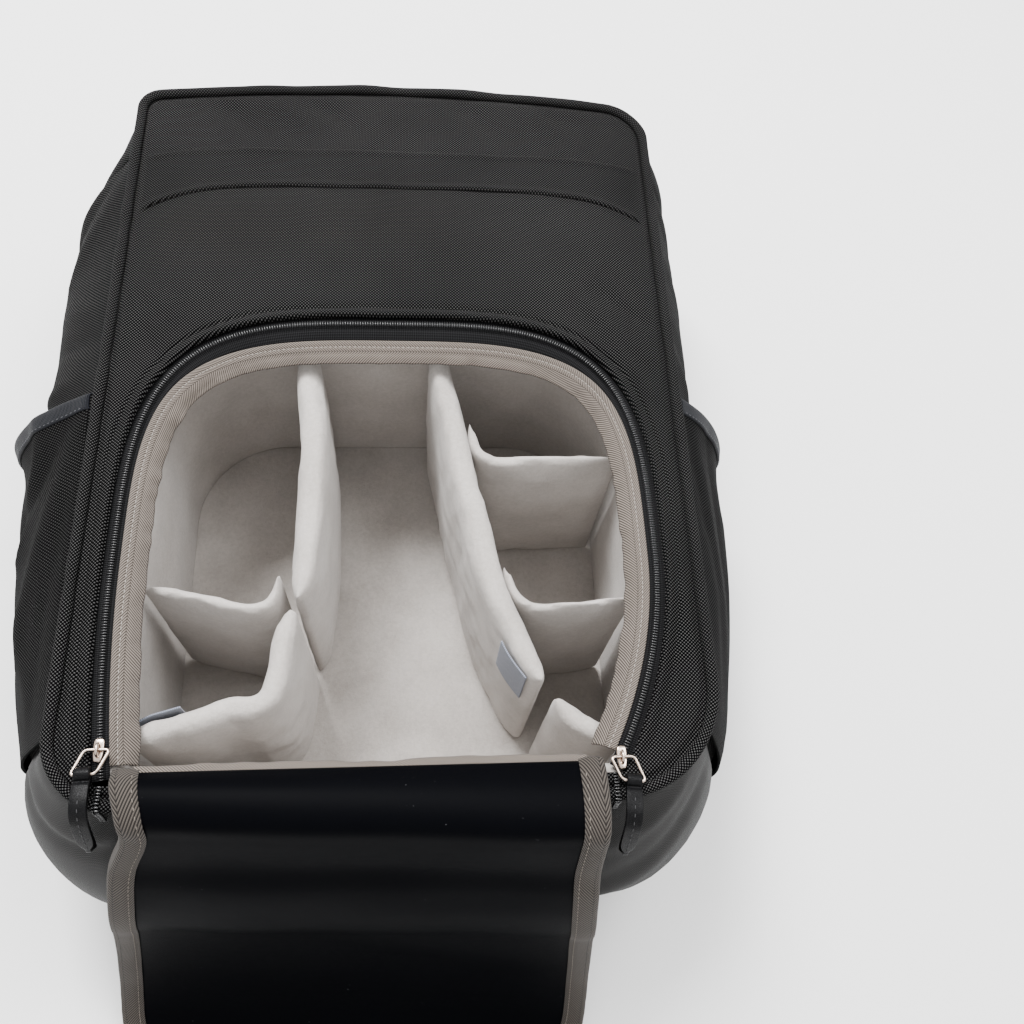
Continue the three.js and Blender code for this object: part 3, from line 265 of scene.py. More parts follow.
class Maker:
    """Puts grids of points into meshes and dresses the pieces."""

    @staticmethod
    def mesh(name: str, vertices: Array, faces: Array | list, uvs: Array | None = None) -> bpy.types.Object:
        """A mesh object from vertices in millimetres.

        Args:
            name: The piece's name.
            vertices: Points, one row each, in mm.
            faces: Vertex numbers of each face.
            uvs: One row per vertex, or None.

        Returns:
            The new object, linked to the scene.
        """
        data = bpy.data.meshes.new(name)
        data.from_pydata((vertices * MM).tolist(), [], faces if isinstance(faces, list) else faces.tolist())
        if uvs is not None:
            layer = data.uv_layers.new(name="cloth")
            corners = np.empty(len(data.loops), dtype=np.int32)
            data.loops.foreach_get("vertex_index", corners)
            layer.data.foreach_set("uv", uvs[corners].astype(np.float32).ravel())
        data.polygons.foreach_set("use_smooth", np.ones(len(data.polygons), dtype=bool))
        data.validate()
        data.update()
        if Maker.volume(data) < 0:
            data.flip_normals()
        obj = bpy.data.objects.new(name, data)
        bpy.context.scene.collection.objects.link(obj)
        return obj

    @staticmethod
    def volume(data: bpy.types.Mesh) -> float:
        """Six times the signed volume: each triangle's corner products, summed."""
        data.calc_loop_triangles()
        corners = np.empty(len(data.loop_triangles) * 3, dtype=np.int32)
        data.loop_triangles.foreach_get("vertices", corners)
        points = np.empty(len(data.vertices) * 3, dtype=np.float32)
        data.vertices.foreach_get("co", points)
        a, b, c = np.moveaxis(points.reshape(-1, 3)[corners.reshape(-1, 3)].astype(float), 1, 0)
        return float(np.einsum("ij,ij->i", a, np.cross(b, c)).sum())

    @staticmethod
    def quads(nu: int, nv: int, wrap_u: bool = False, wrap_v: bool = False, flip: bool = False) -> Array:
        """Faces of a grid with nu by nv points."""
        i = np.arange(nu if wrap_u else nu - 1)
        j = np.arange(nv if wrap_v else nv - 1)
        ii, jj = np.meshgrid(i, j, indexing="ij")
        i2, j2 = (ii + 1) % nu, (jj + 1) % nv
        faces = np.stack([ii * nv + jj, i2 * nv + jj, i2 * nv + j2, ii * nv + j2], axis=-1).reshape(-1, 4)
        return faces[:, ::-1] if flip else faces

    @classmethod
    def cloth(
        cls,
        name: str,
        grid: Array,
        thickness: float,
        uv: Array | None = None,
        wrap: bool = False,
        flip: bool = False,
    ) -> bpy.types.Object:
        """A sheet of cloth: the grid is its outer face and its thickness goes inwards.

        Args:
            name: The piece's name.
            grid: Points of the outer face, in mm.
            thickness: The cloth's thickness in mm.
            uv: Coordinates per grid point in mm, or None to measure them on the grid.
            wrap: Whether the first direction closes on itself.
            flip: Turns the faces over.

        Returns:
            The sheet's object.
        """
        nu, nv = grid.shape[:2]
        if uv is None:
            along, across = run_lengths(grid)
            uv = np.stack(np.meshgrid(along, across, indexing="ij"), axis=-1)
        normals = grid_normals(grid, wrap) * (-1 if flip else 1)
        inner = grid - normals * thickness
        face = cls.quads(nu, nv, wrap_u=wrap, flip=flip)
        back = cls.quads(nu, nv, wrap_u=wrap, flip=not flip) + nu * nv
        rims = [cls.rim(np.arange(nu) * nv, nu * nv, wrap, flip)]
        rims.append(cls.rim(np.arange(nu) * nv + nv - 1, nu * nv, wrap, not flip))
        if not wrap:
            rims.append(cls.rim(np.arange(nv), nu * nv, False, not flip))
            rims.append(cls.rim(np.arange(nv) + (nu - 1) * nv, nu * nv, False, flip))
        vertices = np.vstack([grid.reshape(-1, 3), inner.reshape(-1, 3)])
        uvs = np.vstack([uv.reshape(-1, 2)] * 2)
        return cls.mesh(name, vertices, np.vstack([face, back, *rims]), uvs)

    @staticmethod
    def rim(edge: Array, shift: int, wrap: bool, flip: bool) -> Array:
        """Faces that close a sheet along one edge of its grid."""
        a = edge
        b = np.roll(edge, -1)
        if not wrap:
            a, b = a[:-1], b[:-1]
        faces = np.stack([b, a, a + shift, b + shift], axis=-1)
        return faces[:, ::-1] if flip else faces

    @classmethod
    def tube(
        cls, name: str, path: Array, radius: Array | float, sides: int = 12, closed: bool = False, up: Array | None = None
    ) -> bpy.types.Object:
        """A round cord: circles of a radius carried along a path, with closed ends.

        Args:
            name: The piece's name.
            path: The middle line's points, in mm.
            radius: The radius, or one for each point.
            sides: Points on each circle.
            closed: Whether the path closes on itself.
            up: A direction that the circles keep to.

        Returns:
            The cord's object.
        """
        grid = cls.sweep(path, radius, sides, closed, up)
        count = len(path)
        along = np.r_[0.0, np.cumsum(np.linalg.norm(np.diff(path, axis=0), axis=1))]
        around = np.linspace(0, 2 * np.pi * float(np.mean(radius)), sides, endpoint=False)
        uvs = np.stack(np.meshgrid(along, around, indexing="ij"), axis=-1).reshape(-1, 2)
        faces = cls.quads(count, sides, wrap_u=closed, wrap_v=True)
        caps = [] if closed else [list(range(sides)), list(range(count * sides - 1, (count - 1) * sides - 1, -1))]
        return cls.mesh(name, grid.reshape(-1, 3), faces.tolist() + caps, uvs)

    @staticmethod
    def sweep(path: Array, radius: Array | float, sides: int, closed: bool, up: Array | None) -> Array:
        """Circles round a path: centre plus radius times cosine and sine in its own frame."""
        if closed:
            tangent = np.roll(path, -1, axis=0) - np.roll(path, 1, axis=0)
        else:
            tangent = np.gradient(path, axis=0)
        tangent /= np.linalg.norm(tangent, axis=1, keepdims=True)
        guide = np.array([0.0, 0.0, 1.0]) if up is None else up
        across = np.cross(tangent, guide)
        across /= np.linalg.norm(across, axis=1, keepdims=True)
        rise = np.cross(across, tangent)
        angle = np.linspace(0, 2 * np.pi, sides, endpoint=False)
        size = np.broadcast_to(np.asarray(radius, dtype=float), (len(path),))[:, None, None]
        ring = across[:, None, :] * np.cos(angle)[None, :, None] + rise[:, None, :] * np.sin(angle)[None, :, None]
        return path[:, None, :] + ring * size

    @classmethod
    def beads(
        cls, name: str, centres: Array, along: Array, across: Array, size: tuple[float, float, float], sides: int = 6
    ) -> bpy.types.Object:
        """Many small rounded bars, joined in one mesh.

        Each bar is an ellipsoid-like form: rings of points at shares of its length, each
        ring's radius the square root of what is left.

        Args:
            name: The piece's name.
            centres: The bars' middles, in mm.
            along: Unit directions of their length.
            across: Unit directions of their width.
            size: Half length, half width and half height in mm.
            sides: Points on each ring.

        Returns:
            The joined object.
        """
        up = np.cross(along, across)
        stops = np.array([-1.0, -0.72, 0.0, 0.72, 1.0])
        fat = np.array([0.35, 0.82, 1.0, 0.82, 0.35])
        angle = np.linspace(0, 2 * np.pi, sides, endpoint=False)
        a = stops[:, None] * size[0] + 0 * angle
        b = fat[:, None] * size[1] * np.cos(angle)
        c = fat[:, None] * size[2] * np.sin(angle)
        points = (
            centres[:, None, None, :]
            + along[:, None, None, :] * a[None, :, :, None]
            + across[:, None, None, :] * b[None, :, :, None]
            + up[:, None, None, :] * c[None, :, :, None]
        )
        rings = len(stops)
        one = cls.quads(rings, sides, wrap_v=True).tolist()
        one += [list(range(sides))[::1], list(range(rings * sides - 1, (rings - 1) * sides - 1, -1))]
        block = rings * sides
        faces = [[k + n * block for k in f] for n in range(len(centres)) for f in one]
        return cls.mesh(name, points.reshape(-1, 3), faces)

    @staticmethod
    def dress(obj: bpy.types.Object, finish: "Finish", slot: str, *nodes: str) -> bpy.types.Object:
        """Gives a piece its finish, rides it on the bag and hides the CAD nodes that it stands for.

        Args:
            obj: The piece.
            finish: What it is made of.
            slot: The record's material slot; not used.
            *nodes: CAD nodes that it stands for.

        Returns:
            The same piece.
        """
        obj.name = obj.data.name = f"dressed_{obj.name.split('.')[0]}"
        obj.data.materials.clear()
        obj.data.materials.append(finish.material())
        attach(obj, ROOT)
        if nodes:
            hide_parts(*nodes)
        LOG.info("%s: %d faces", obj.name, len(obj.data.polygons))
        return obj


@dataclass(frozen=True)
class Padding:
    """Blows a padded piece up as cloth, so that its cover creases like a filled one.

    The piece is remeshed in voxels, its cover is simulated under a little pressure with
    gravity off, and each point may move no further than the cap, all in mm.
    """

    voxel: float = 3.5
    pressure: float = 4.0
    cap: float = 2.5
    frames: int = 20
    stiffness: float = 12.0

    def fill(self, obj: bpy.types.Object) -> None:
        """Runs the simulation and keeps its result in the mesh.

        Args:
            obj: The piece, a closed mesh at the origin.
        """
        self._remesh(obj)
        self._inflate(obj)
        smoothing = obj.modifiers.new("smooth", "SUBSURF")
        smoothing.levels = smoothing.render_levels = 1

    def _remesh(self, obj: bpy.types.Object) -> None:
        """Replaces the mesh with an even one of voxel faces."""
        voxels = obj.modifiers.new("voxels", "REMESH")
        voxels.mode = "VOXEL"
        voxels.voxel_size = self.voxel * MM
        voxels.use_smooth_shade = True
        self._bake(obj, voxels)

    @staticmethod
    def _bake(obj: bpy.types.Object, modifier: bpy.types.Modifier) -> None:
        """Keeps what a modifier makes and takes the modifier off."""
        view = bpy.context.evaluated_depsgraph_get()
        data = bpy.data.meshes.new_from_object(obj.evaluated_get(view), depsgraph=view)
        obj.modifiers.remove(modifier)
        old, obj.data = obj.data, data
        bpy.data.meshes.remove(old)

    def _inflate(self, obj: bpy.types.Object) -> None:
        """Steps the cloth from frame 1 on and caps how far its points move."""
        start = np.empty(len(obj.data.vertices) * 3, dtype=np.float32)
        obj.data.vertices.foreach_get("co", start)
        cloth = obj.modifiers.new("cloth", "CLOTH")
        rules = cloth.settings
        rules.quality = 6
        rules.mass = 0.25
        rules.tension_stiffness = rules.compression_stiffness = self.stiffness
        rules.shear_stiffness = 5.0
        rules.bending_stiffness = 0.4
        rules.use_pressure = True
        rules.uniform_pressure_force = self.pressure
        rules.effector_weights.gravity = 0.0
        cloth.collision_settings.use_collision = False
        cloth.point_cache.frame_start = 1
        cloth.point_cache.frame_end = self.frames
        scene = bpy.context.scene
        for frame in range(1, self.frames + 1):
            scene.frame_set(frame)
        self._bake(obj, cloth)
        scene.frame_set(1)
        end = np.empty_like(start)
        obj.data.vertices.foreach_get("co", end)
        move = np.nan_to_num((end - start).reshape(-1, 3))
        far = np.linalg.norm(move, axis=1, keepdims=True)
        limit = self.cap * MM
        kept = start.reshape(-1, 3) + move * (limit / np.maximum(far, limit))
        obj.data.vertices.foreach_set("co", kept.astype(np.float32).ravel())
        obj.data.update()
        LOG.info("%s padded: moved %.1f mm on average", obj.name, float(far.mean()) / MM)


class Signal:
    """A socket of numbers in a node tree, with arithmetic written as Python."""

    def __init__(self, paint: "Paint", socket: bpy.types.NodeSocket) -> None:
        """Wraps a socket.

        Args:
            paint: The material that the socket is in.
            socket: The output socket.
        """
        self.paint = paint
        self.socket = socket

    def _math(self, operation: str, *values: "Signal | float", clamp: bool = False) -> "Signal":
        """A Math node on this socket and other values."""
        settings = {"operation": operation, "use_clamp": clamp}
        inputs = dict(enumerate((self, *values)))
        return self.paint.node("ShaderNodeMath", settings, inputs)

    def __add__(self, other: "Signal | float") -> "Signal":
        """self + other."""
        return self._math("ADD", other)

    __radd__ = __add__

    def __mul__(self, other: "Signal | float") -> "Signal":
        """self * other."""
        return self._math("MULTIPLY", other)

    __rmul__ = __mul__

    def __sub__(self, other: "Signal | float") -> "Signal":
        """self - other."""
        return self._math("SUBTRACT", other)

    def __rsub__(self, other: float) -> "Signal":
        """other - self."""
        return self.paint.number(other)._math("SUBTRACT", self)

    def __truediv__(self, other: "Signal | float") -> "Signal":
        """self / other."""
        return self._math("DIVIDE", other)

    def __pow__(self, other: float) -> "Signal":
        """self to a power."""
        return self._math("POWER", other)

    def __abs__(self) -> "Signal":
        """The distance from 0."""
        return self._math("ABSOLUTE")

    def sine(self) -> "Signal":
        """The sine, in radians."""
        return self._math("SINE")

    def fraction(self) -> "Signal":
        """What is left over from a whole number."""
        return self._math("FRACT")

    def least(self, other: "Signal | float") -> "Signal":
        """The lower of the two."""
        return self._math("MINIMUM", other)

    def most(self, other: "Signal | float") -> "Signal":
        """The higher of the two."""
        return self._math("MAXIMUM", other)

    def above(self, edge: float) -> "Signal":
        """1 over an edge, 0 under it."""
        return self._math("GREATER_THAN", edge)

    def ramp(self, low: float, high: float) -> "Signal":
        """0 below low, 1 above high and a smooth rise between."""
        return self.paint.node(
            "ShaderNodeMapRange",
            {"interpolation_type": "SMOOTHSTEP"},
            {"Value": self, "From Min": low, "From Max": high},
            "Result",
        )


class Paint:
    """Builds one material: its nodes, their settings and their links."""

    def __init__(self, name: str) -> None:
        """Starts a material with its shader.

        Args:
            name: The material's name.
        """
        self.material = bpy.data.materials.new(name)
        self.material.use_nodes = True
        self.tree = self.material.node_tree
        self.tree.nodes.clear()
        self.output = self.tree.nodes.new("ShaderNodeOutputMaterial")
        self.shader = self.tree.nodes.new("ShaderNodeBsdfPrincipled")
        self.tree.links.new(self.shader.outputs["BSDF"], self.output.inputs["Surface"])

    def node(
        self,
        kind: str,
        settings: dict[str, object] | None = None,
        inputs: dict[str | int, object] | None = None,
        out: str | int = 0,
    ) -> Signal:
        """Adds a node.

        Args:
            kind: The node's type.
            settings: Its own settings, set before its sockets.
            inputs: Values or signals for its sockets, by name or number.
            out: The output that the signal stands for.

        Returns:
            The output as a signal.
        """
        made = self.tree.nodes.new(kind)
        for key, value in (settings or {}).items():
            if key == "stops":
                self._stops(made, value)
            else:
                setattr(made, key, value)
        for key, value in (inputs or {}).items():
            socket = made.inputs[key]
            if isinstance(value, Signal):
                self.tree.links.new(value.socket, socket)
            else:
                socket.default_value = value
        return Signal(self, made.outputs[out])

    @staticmethod
    def _stops(made: bpy.types.Node, stops: Sequence[tuple[float, tuple]]) -> None:
        """Sets a colour ramp's stops."""
        ramp = made.color_ramp
        while len(ramp.elements) < len(stops):
            ramp.elements.new(0.5)
        for element, (place, colour) in zip(ramp.elements, stops):
            element.position = place
            element.color = (*colour, 1.0)

    def number(self, value: float) -> Signal:
        """A fixed number as a signal."""
        made = self.tree.nodes.new("ShaderNodeValue")
        made.outputs[0].default_value = value
        return Signal(self, made.outputs[0])

    def cloth_uv(self) -> tuple[Signal, Signal]:
        """The piece's own coordinates along and across the cloth, in mm."""
        uv = self.node("ShaderNodeUVMap", {"uv_map": "cloth"})
        parts = self.node("ShaderNodeSeparateXYZ", None, {0: uv})
        nodes = parts.socket.node.outputs
        return Signal(self, nodes[0]), Signal(self, nodes[1])

    def place(self) -> Signal:
        """Object coordinates, in metres."""
        return self.node("ShaderNodeTexCoord", None, None, "Object")

    def noise(self, scale: float, detail: float = 3.0, rough: float = 0.55, at: Signal | None = None) -> Signal:
        """Smooth noise from 0 to 1 in the object's space, or at given coordinates."""
        where = at if at is not None else self.place()
        inputs = {"Vector": where, "Scale": scale, "Detail": detail, "Roughness": rough}
        return self.node("ShaderNodeTexNoise", None, inputs, 0)

    def blend(self, amount: Signal | float, a: object, b: object) -> Signal:
        """A mix of two colours, each a tuple or a signal."""
        def full(c: object) -> object:
            """A colour with its alpha."""
            return c if isinstance(c, Signal) else (*c, 1.0)

        made = self.tree.nodes.new("ShaderNodeMix")
        made.data_type = "RGBA"
        for name, value in (("Factor", amount), ("A", full(a)), ("B", full(b))):
            sockets = [s for s in made.inputs if s.name == name and s.enabled]
            socket = sockets[0]
            if isinstance(value, Signal):
                self.tree.links.new(value.socket, socket)
            else:
                socket.default_value = value
        return Signal(self, [s for s in made.outputs if s.enabled][0])

    def set(self, **values: object) -> "Paint":
        """Sets shader sockets by name, with underscores for spaces."""
        for key, value in values.items():
            socket = self.shader.inputs[key.replace("_", " ")]
            if isinstance(value, Signal):
                self.tree.links.new(value.socket, socket)
            elif isinstance(value, tuple):
                socket.default_value = (*value, 1.0)
            else:
                socket.default_value = value
        return self

    def bump(self, height: Signal, depth: float, strength: float = 1.0) -> "Paint":
        """Turns a height from 0 to 1 into the shader's normal; depth is in mm."""
        inputs = {"Height": height, "Distance": depth * MM, "Strength": strength}
        normal = self.node("ShaderNodeBump", None, inputs, "Normal")
        self.tree.links.new(normal.socket, self.shader.inputs["Normal"])
        return self


class Finish:
    """A surface finish; each kind makes its material once."""

    _made: dict = {}

    def material(self) -> bpy.types.Material:
        """The finish's material, made on first use."""
        key = (type(self).__name__, repr(self))
        if key not in Finish._made:
            paint = Paint(f"{type(self).__name__.lower()}_{len(Finish._made)}")
            self.build(paint)
            Finish._made[key] = paint.material
        return Finish._made[key]

    def build(self, paint: Paint) -> None:
        """Fills the material; each finish has its own."""
        raise NotImplementedError


@dataclass(frozen=True)
class BasketWeave(Finish):
    """Coarse nylon in a basket weave: rounded yarn crossings in rows.

    pitch is half the repeat in mm; light is a painted glint on the yarn's top and dark a painted shade in its gaps.
    """

    pitch: float = 1.0
    # light: painted glint on the yarn tops; dark: painted shade in the gaps between yarns
    light: tuple[float, float, float] = (0.066, 0.065, 0.0645)
    dark: tuple[float, float, float] = (0.0004, 0.0004, 0.0005)
    turn: float = 0.0
    roughness: float = 0.58
    depth: float = 0.4

    def build(self, paint: Paint) -> None:
        """Bumps are sin(pi u / p) * sin(pi v / p), lifted to 0..1; colour follows them, with a painted glint on the
        tops and painted shade in the gaps.
        """
        u, v = paint.cloth_uv()
        c, s = math.cos(self.turn), math.sin(self.turn)
        k = math.pi / self.pitch
        wobble = (paint.noise(60.0, 2.0) - 0.5) * 1.2
        a = ((u * c + v * s) * k + wobble).sine()
        b = ((v * c - u * s) * k + wobble).sine()
        yarn = a * b * 0.5 + 0.5
        strand = ((u + v) * (k * 2.0)).sine() * 0.5 + 0.5
        soft = paint.noise(9.0, 3.0)
        dust = paint.noise(1400.0, 2.0)
        # top: how much painted glint a yarn top gets; where it is low, the gaps get painted shade
        top = yarn.ramp(0.52, 0.88) * (strand * 0.35 + 0.65) * (soft * 0.7 + 0.62)
        paint.set(
            Base_Color=paint.blend(top, self.dark, self.light),
            Roughness=(1 - top) * 0.25 + self.roughness,
            Specular_IOR_Level=0.02,
        )
        paint.bump(yarn + strand * 0.15 + dust * 0.15, self.depth)


@dataclass(frozen=True)
class FineWeave(Finish):
    """A finer, smoother nylon in plain weave."""

    pitch: float = 0.6
    light: tuple[float, float, float] = (0.024, 0.0235, 0.023)
    dark: tuple[float, float, float] = (0.003, 0.003, 0.003)
    roughness: float = 0.48

    def build(self, paint: Paint) -> None:
        """A fine checker of yarn crossings with slow variations of tone."""
        u, v = paint.cloth_uv()
        k = math.pi / self.pitch
        yarn = (u * k).sine() * (v * k).sine() * 0.5 + 0.5
        soft = paint.noise(14.0, 4.0)
        tone = yarn * 0.55 + soft * 0.45
        paint.set(
            Base_Color=paint.blend(tone.ramp(0.15, 0.85), self.dark, self.light),
            Roughness=soft * 0.2 + self.roughness,
            Specular_IOR_Level=0.1,
        )
        paint.bump(yarn + soft * 0.4, 0.18)


@dataclass(frozen=True)
class Herringbone(Finish):
    """Woven tape in a herringbone: slanted yarns that change side at the middle.

    The tape's own coordinates are its length and its distance from the middle, in mm.
    point is 1 or -1: which way the chevrons point along the length.
    """

    point: int = 1
    pitch: float = 1.7
    slope: float = 1.25
    light: tuple[float, float, float] = (0.205, 0.175, 0.152)
    dark: tuple[float, float, float] = (0.026, 0.021, 0.017)

    def build(self, paint: Paint) -> None:
        """Yarns are sin(2 pi (along + slope * |across|) / pitch)."""
        along, across = paint.cloth_uv()
        phase = (along + abs(across) * (self.slope * self.point)) * (2 * math.pi / self.pitch)
        yarn = phase.sine() * 0.5 + 0.5
        twist = ((along * 2.2 - across * 1.1) * (2 * math.pi / self.pitch)).sine() * 0.5 + 0.5
        spine = 1 - abs(across).ramp(0.1, 0.55)
        soft = paint.noise(30.0, 4.0)
        fuzz = paint.noise(1500.0, 3.0)
        tone = yarn.ramp(0.1, 0.9) * (twist * 0.25 + 0.75) * (1 - spine * 0.45)
        tone = tone * (soft * 0.5 + 0.75) + fuzz * 0.12
        paint.set(
            Base_Color=paint.blend(tone.least(1.0), self.dark, self.light),
            Roughness=0.82,
            Specular_IOR_Level=0.15,
            Sheen_Weight=0.05,
            Sheen_Roughness=0.5,
        )
        paint.bump(yarn * 0.8 + twist * 0.12 + fuzz * 0.2 - spine * 0.4, 0.35)


@dataclass(frozen=True)
class Fleece(Finish):
    """Brushed loop fleece over foam."""

    light: tuple[float, float, float] = (0.54, 0.505, 0.475)
    dark: tuple[float, float, float] = (0.33, 0.30, 0.275)

    def build(self, paint: Paint) -> None:
        """Cloudy tone from slow noise, and a nap from fine and very fine noise."""
        cloud = paint.noise(26.0, 4.0)
        nap = paint.noise(420.0, 5.0, 0.7)
        hair = paint.noise(1700.0, 4.0, 0.7)
        tone = cloud * 0.45 + nap * 0.35 + hair * 0.2
        paint.set(
            Base_Color=paint.blend(tone.ramp(0.25, 0.75), self.dark, self.light),
            Roughness=0.96,
            Specular_IOR_Level=0.1,
            Sheen_Weight=0.25,
            Sheen_Roughness=0.6,
        )
        paint.bump(nap * 0.7 + hair * 0.5, 0.9, 0.8)


@dataclass(frozen=True)
class Satin(Finish):
    """Smooth lining cloth with a faint blue cast."""

    light: tuple[float, float, float] = (0.0016, 0.0017, 0.0025)
    dark: tuple[float, float, float] = (0.0005, 0.0006, 0.0009)

    def build(self, paint: Paint) -> None:
        """Very fine twill lines and slow clouds of tone and gloss."""
        u, v = paint.cloth_uv()
        twill = ((u + v * 0.6) * (math.pi / 0.32)).sine() * 0.5 + 0.5
        slub = paint.noise(240.0, 3.0)
        cloud = paint.noise(9.0, 4.0)
        lint = paint.noise(520.0, 1.0).ramp(0.79, 0.84)
        tone = cloud * 0.5 + twill * 0.3 + slub * 0.2
        colour = paint.blend(tone, self.dark, self.light)
        paint.set(
            Base_Color=paint.blend(lint * 0.15, colour, (0.25, 0.25, 0.27)),
            Roughness=cloud * 0.12 + 0.42,
            Specular_IOR_Level=0.015,
        )
        paint.bump(twill * 0.3 + slub * 0.7, 0.10)


@dataclass(frozen=True)
class Ribbed(Finish):
    """Woven tape or webbing with ribs across its length."""

    colour: tuple[float, float, float] = (0.003, 0.003, 0.0032)
    light: tuple[float, float, float] = (0.014, 0.014, 0.015)
    pitch: float = 1.1
    roughness: float = 0.6
    gloss: float = 0.06

    def build(self, paint: Paint) -> None:
        """Ribs are sin(2 pi along / pitch), crossed by finer yarns."""
        along, across = paint.cloth_uv()
        k = 2 * math.pi / self.pitch
        rib = (along * k).sine() * 0.5 + 0.5
        yarn = (across * (k * 0.8)).sine() * 0.5 + 0.5
        soft = paint.noise(40.0, 3.0)
        tone = rib * 0.5 + yarn * 0.25 + soft * 0.25
        paint.set(
            Base_Color=paint.blend(tone.ramp(0.2, 0.9), self.colour, self.light),
            Roughness=soft * 0.15 + self.roughness,
            Specular_IOR_Level=self.gloss,
        )
        paint.bump(rib + yarn * 0.5, 0.25)


@dataclass(frozen=True)
class Leather(Finish):
    """Smooth black leather with a fine grain."""

    colour: tuple[float, float, float] = (0.0018, 0.0018, 0.0022)
    edge: tuple[float, float, float] = (0.008, 0.0078, 0.0078)

    def build(self, paint: Paint) -> None:
        """Grain from small cells, with slow changes of gloss."""
        cells = paint.node(
            "ShaderNodeTexVoronoi", {"feature": "DISTANCE_TO_EDGE"}, {"Vector": paint.place(), "Scale": 1100.0}
        )
        cloud = paint.noise(70.0, 4.0)
        grain = cells.ramp(0.0, 0.12)
        paint.set(
            Base_Color=paint.blend(cloud.ramp(0.45, 0.8), self.colour, self.edge),
            Roughness=cloud * 0.22 + 0.30,
            Specular_IOR_Level=0.09,
            Coat_Weight=0.015,
            Coat_Roughness=0.25,
        )
        paint.bump(grain * 0.6 + cloud * 0.4, 0.12)


@dataclass(frozen=True)
class Metal(Finish):
    """Polished nickel with a warm cast."""

    colour: tuple[float, float, float] = (0.56, 0.46, 0.39)

    def build(self, paint: Paint) -> None:
        """Bright metal with a few fine scuffs in its gloss."""
        scuff = paint.noise(700.0, 4.0)
        paint.set(
            Base_Color=paint.blend(scuff.ramp(0.5, 0.9), self.colour, (0.36, 0.30, 0.26)),
            Metallic=1.0,
            Roughness=scuff * 0.16 + 0.12,
        )
        paint.bump(scuff, 0.03)


@dataclass(frozen=True)
class Thread(Finish):
    """Sewing thread."""

    colour: tuple[float, float, float] = (0.34, 0.31, 0.28)

    def build(self, paint: Paint) -> None:
        """A plain matt thread with a little twist in its tone."""
        twist = paint.noise(2200.0, 2.0)
        dim = tuple(0.55 * c for c in self.colour)
        paint.set(Base_Color=paint.blend(twist, dim, self.colour), Roughness=0.7, Specular_IOR_Level=0.2)


@dataclass(frozen=True)
class HookTape(Finish):
    """Blue-grey hook tape: a field of tiny hooks."""

    light: tuple[float, float, float] = (0.33, 0.36, 0.44)
    dark: tuple[float, float, float] = (0.07, 0.08, 0.11)

    def build(self, paint: Paint) -> None:
        """Speckles of fine cells over rows of hooks."""
        u, v = paint.cloth_uv()
        row = (v * (2 * math.pi / 1.3)).sine() * (u * (2 * math.pi / 1.1)).sine() * 0.5 + 0.5
        speck = paint.noise(1300.0, 4.0, 0.8)
        tone = row * 0.45 + speck * 0.6
        paint.set(Base_Color=paint.blend(tone.ramp(0.3, 0.85), self.dark, self.light), Roughness=0.7, Sheen_Weight=0.2)
        paint.bump(tone, 0.6)


@dataclass(frozen=True)
class AirMesh(Finish):
    """Spacer mesh on the pads: small cells in a soft knit."""

    light: tuple[float, float, float] = (0.020, 0.020, 0.021)
    dark: tuple[float, float, float] = (0.002, 0.002, 0.002)

    def build(self, paint: Paint) -> None:
        """Cells are the distance to the edges of small Voronoi cells."""
        cells = paint.node(
            "ShaderNodeTexVoronoi",
            {"feature": "DISTANCE_TO_EDGE"},
            {"Vector": paint.place(), "Scale": 330.0, "Randomness": 0.25},
        )
        wall = 1 - cells.ramp(0.02, 0.28)
        paint.set(Base_Color=paint.blend(wall, self.dark, self.light), Roughness=0.85, Specular_IOR_Level=0.15)
        paint.bump(wall, 0.8)


@dataclass(frozen=True)
class Floor(Finish):
    """The pale floor under the bag."""

    colour: tuple[float, float, float] = (0.93, 0.93, 0.93)

    def build(self, paint: Paint) -> None:
        """A plain matt surface."""
        paint.set(Base_Color=self.colour, Roughness=0.9, Specular_IOR_Level=0.1)


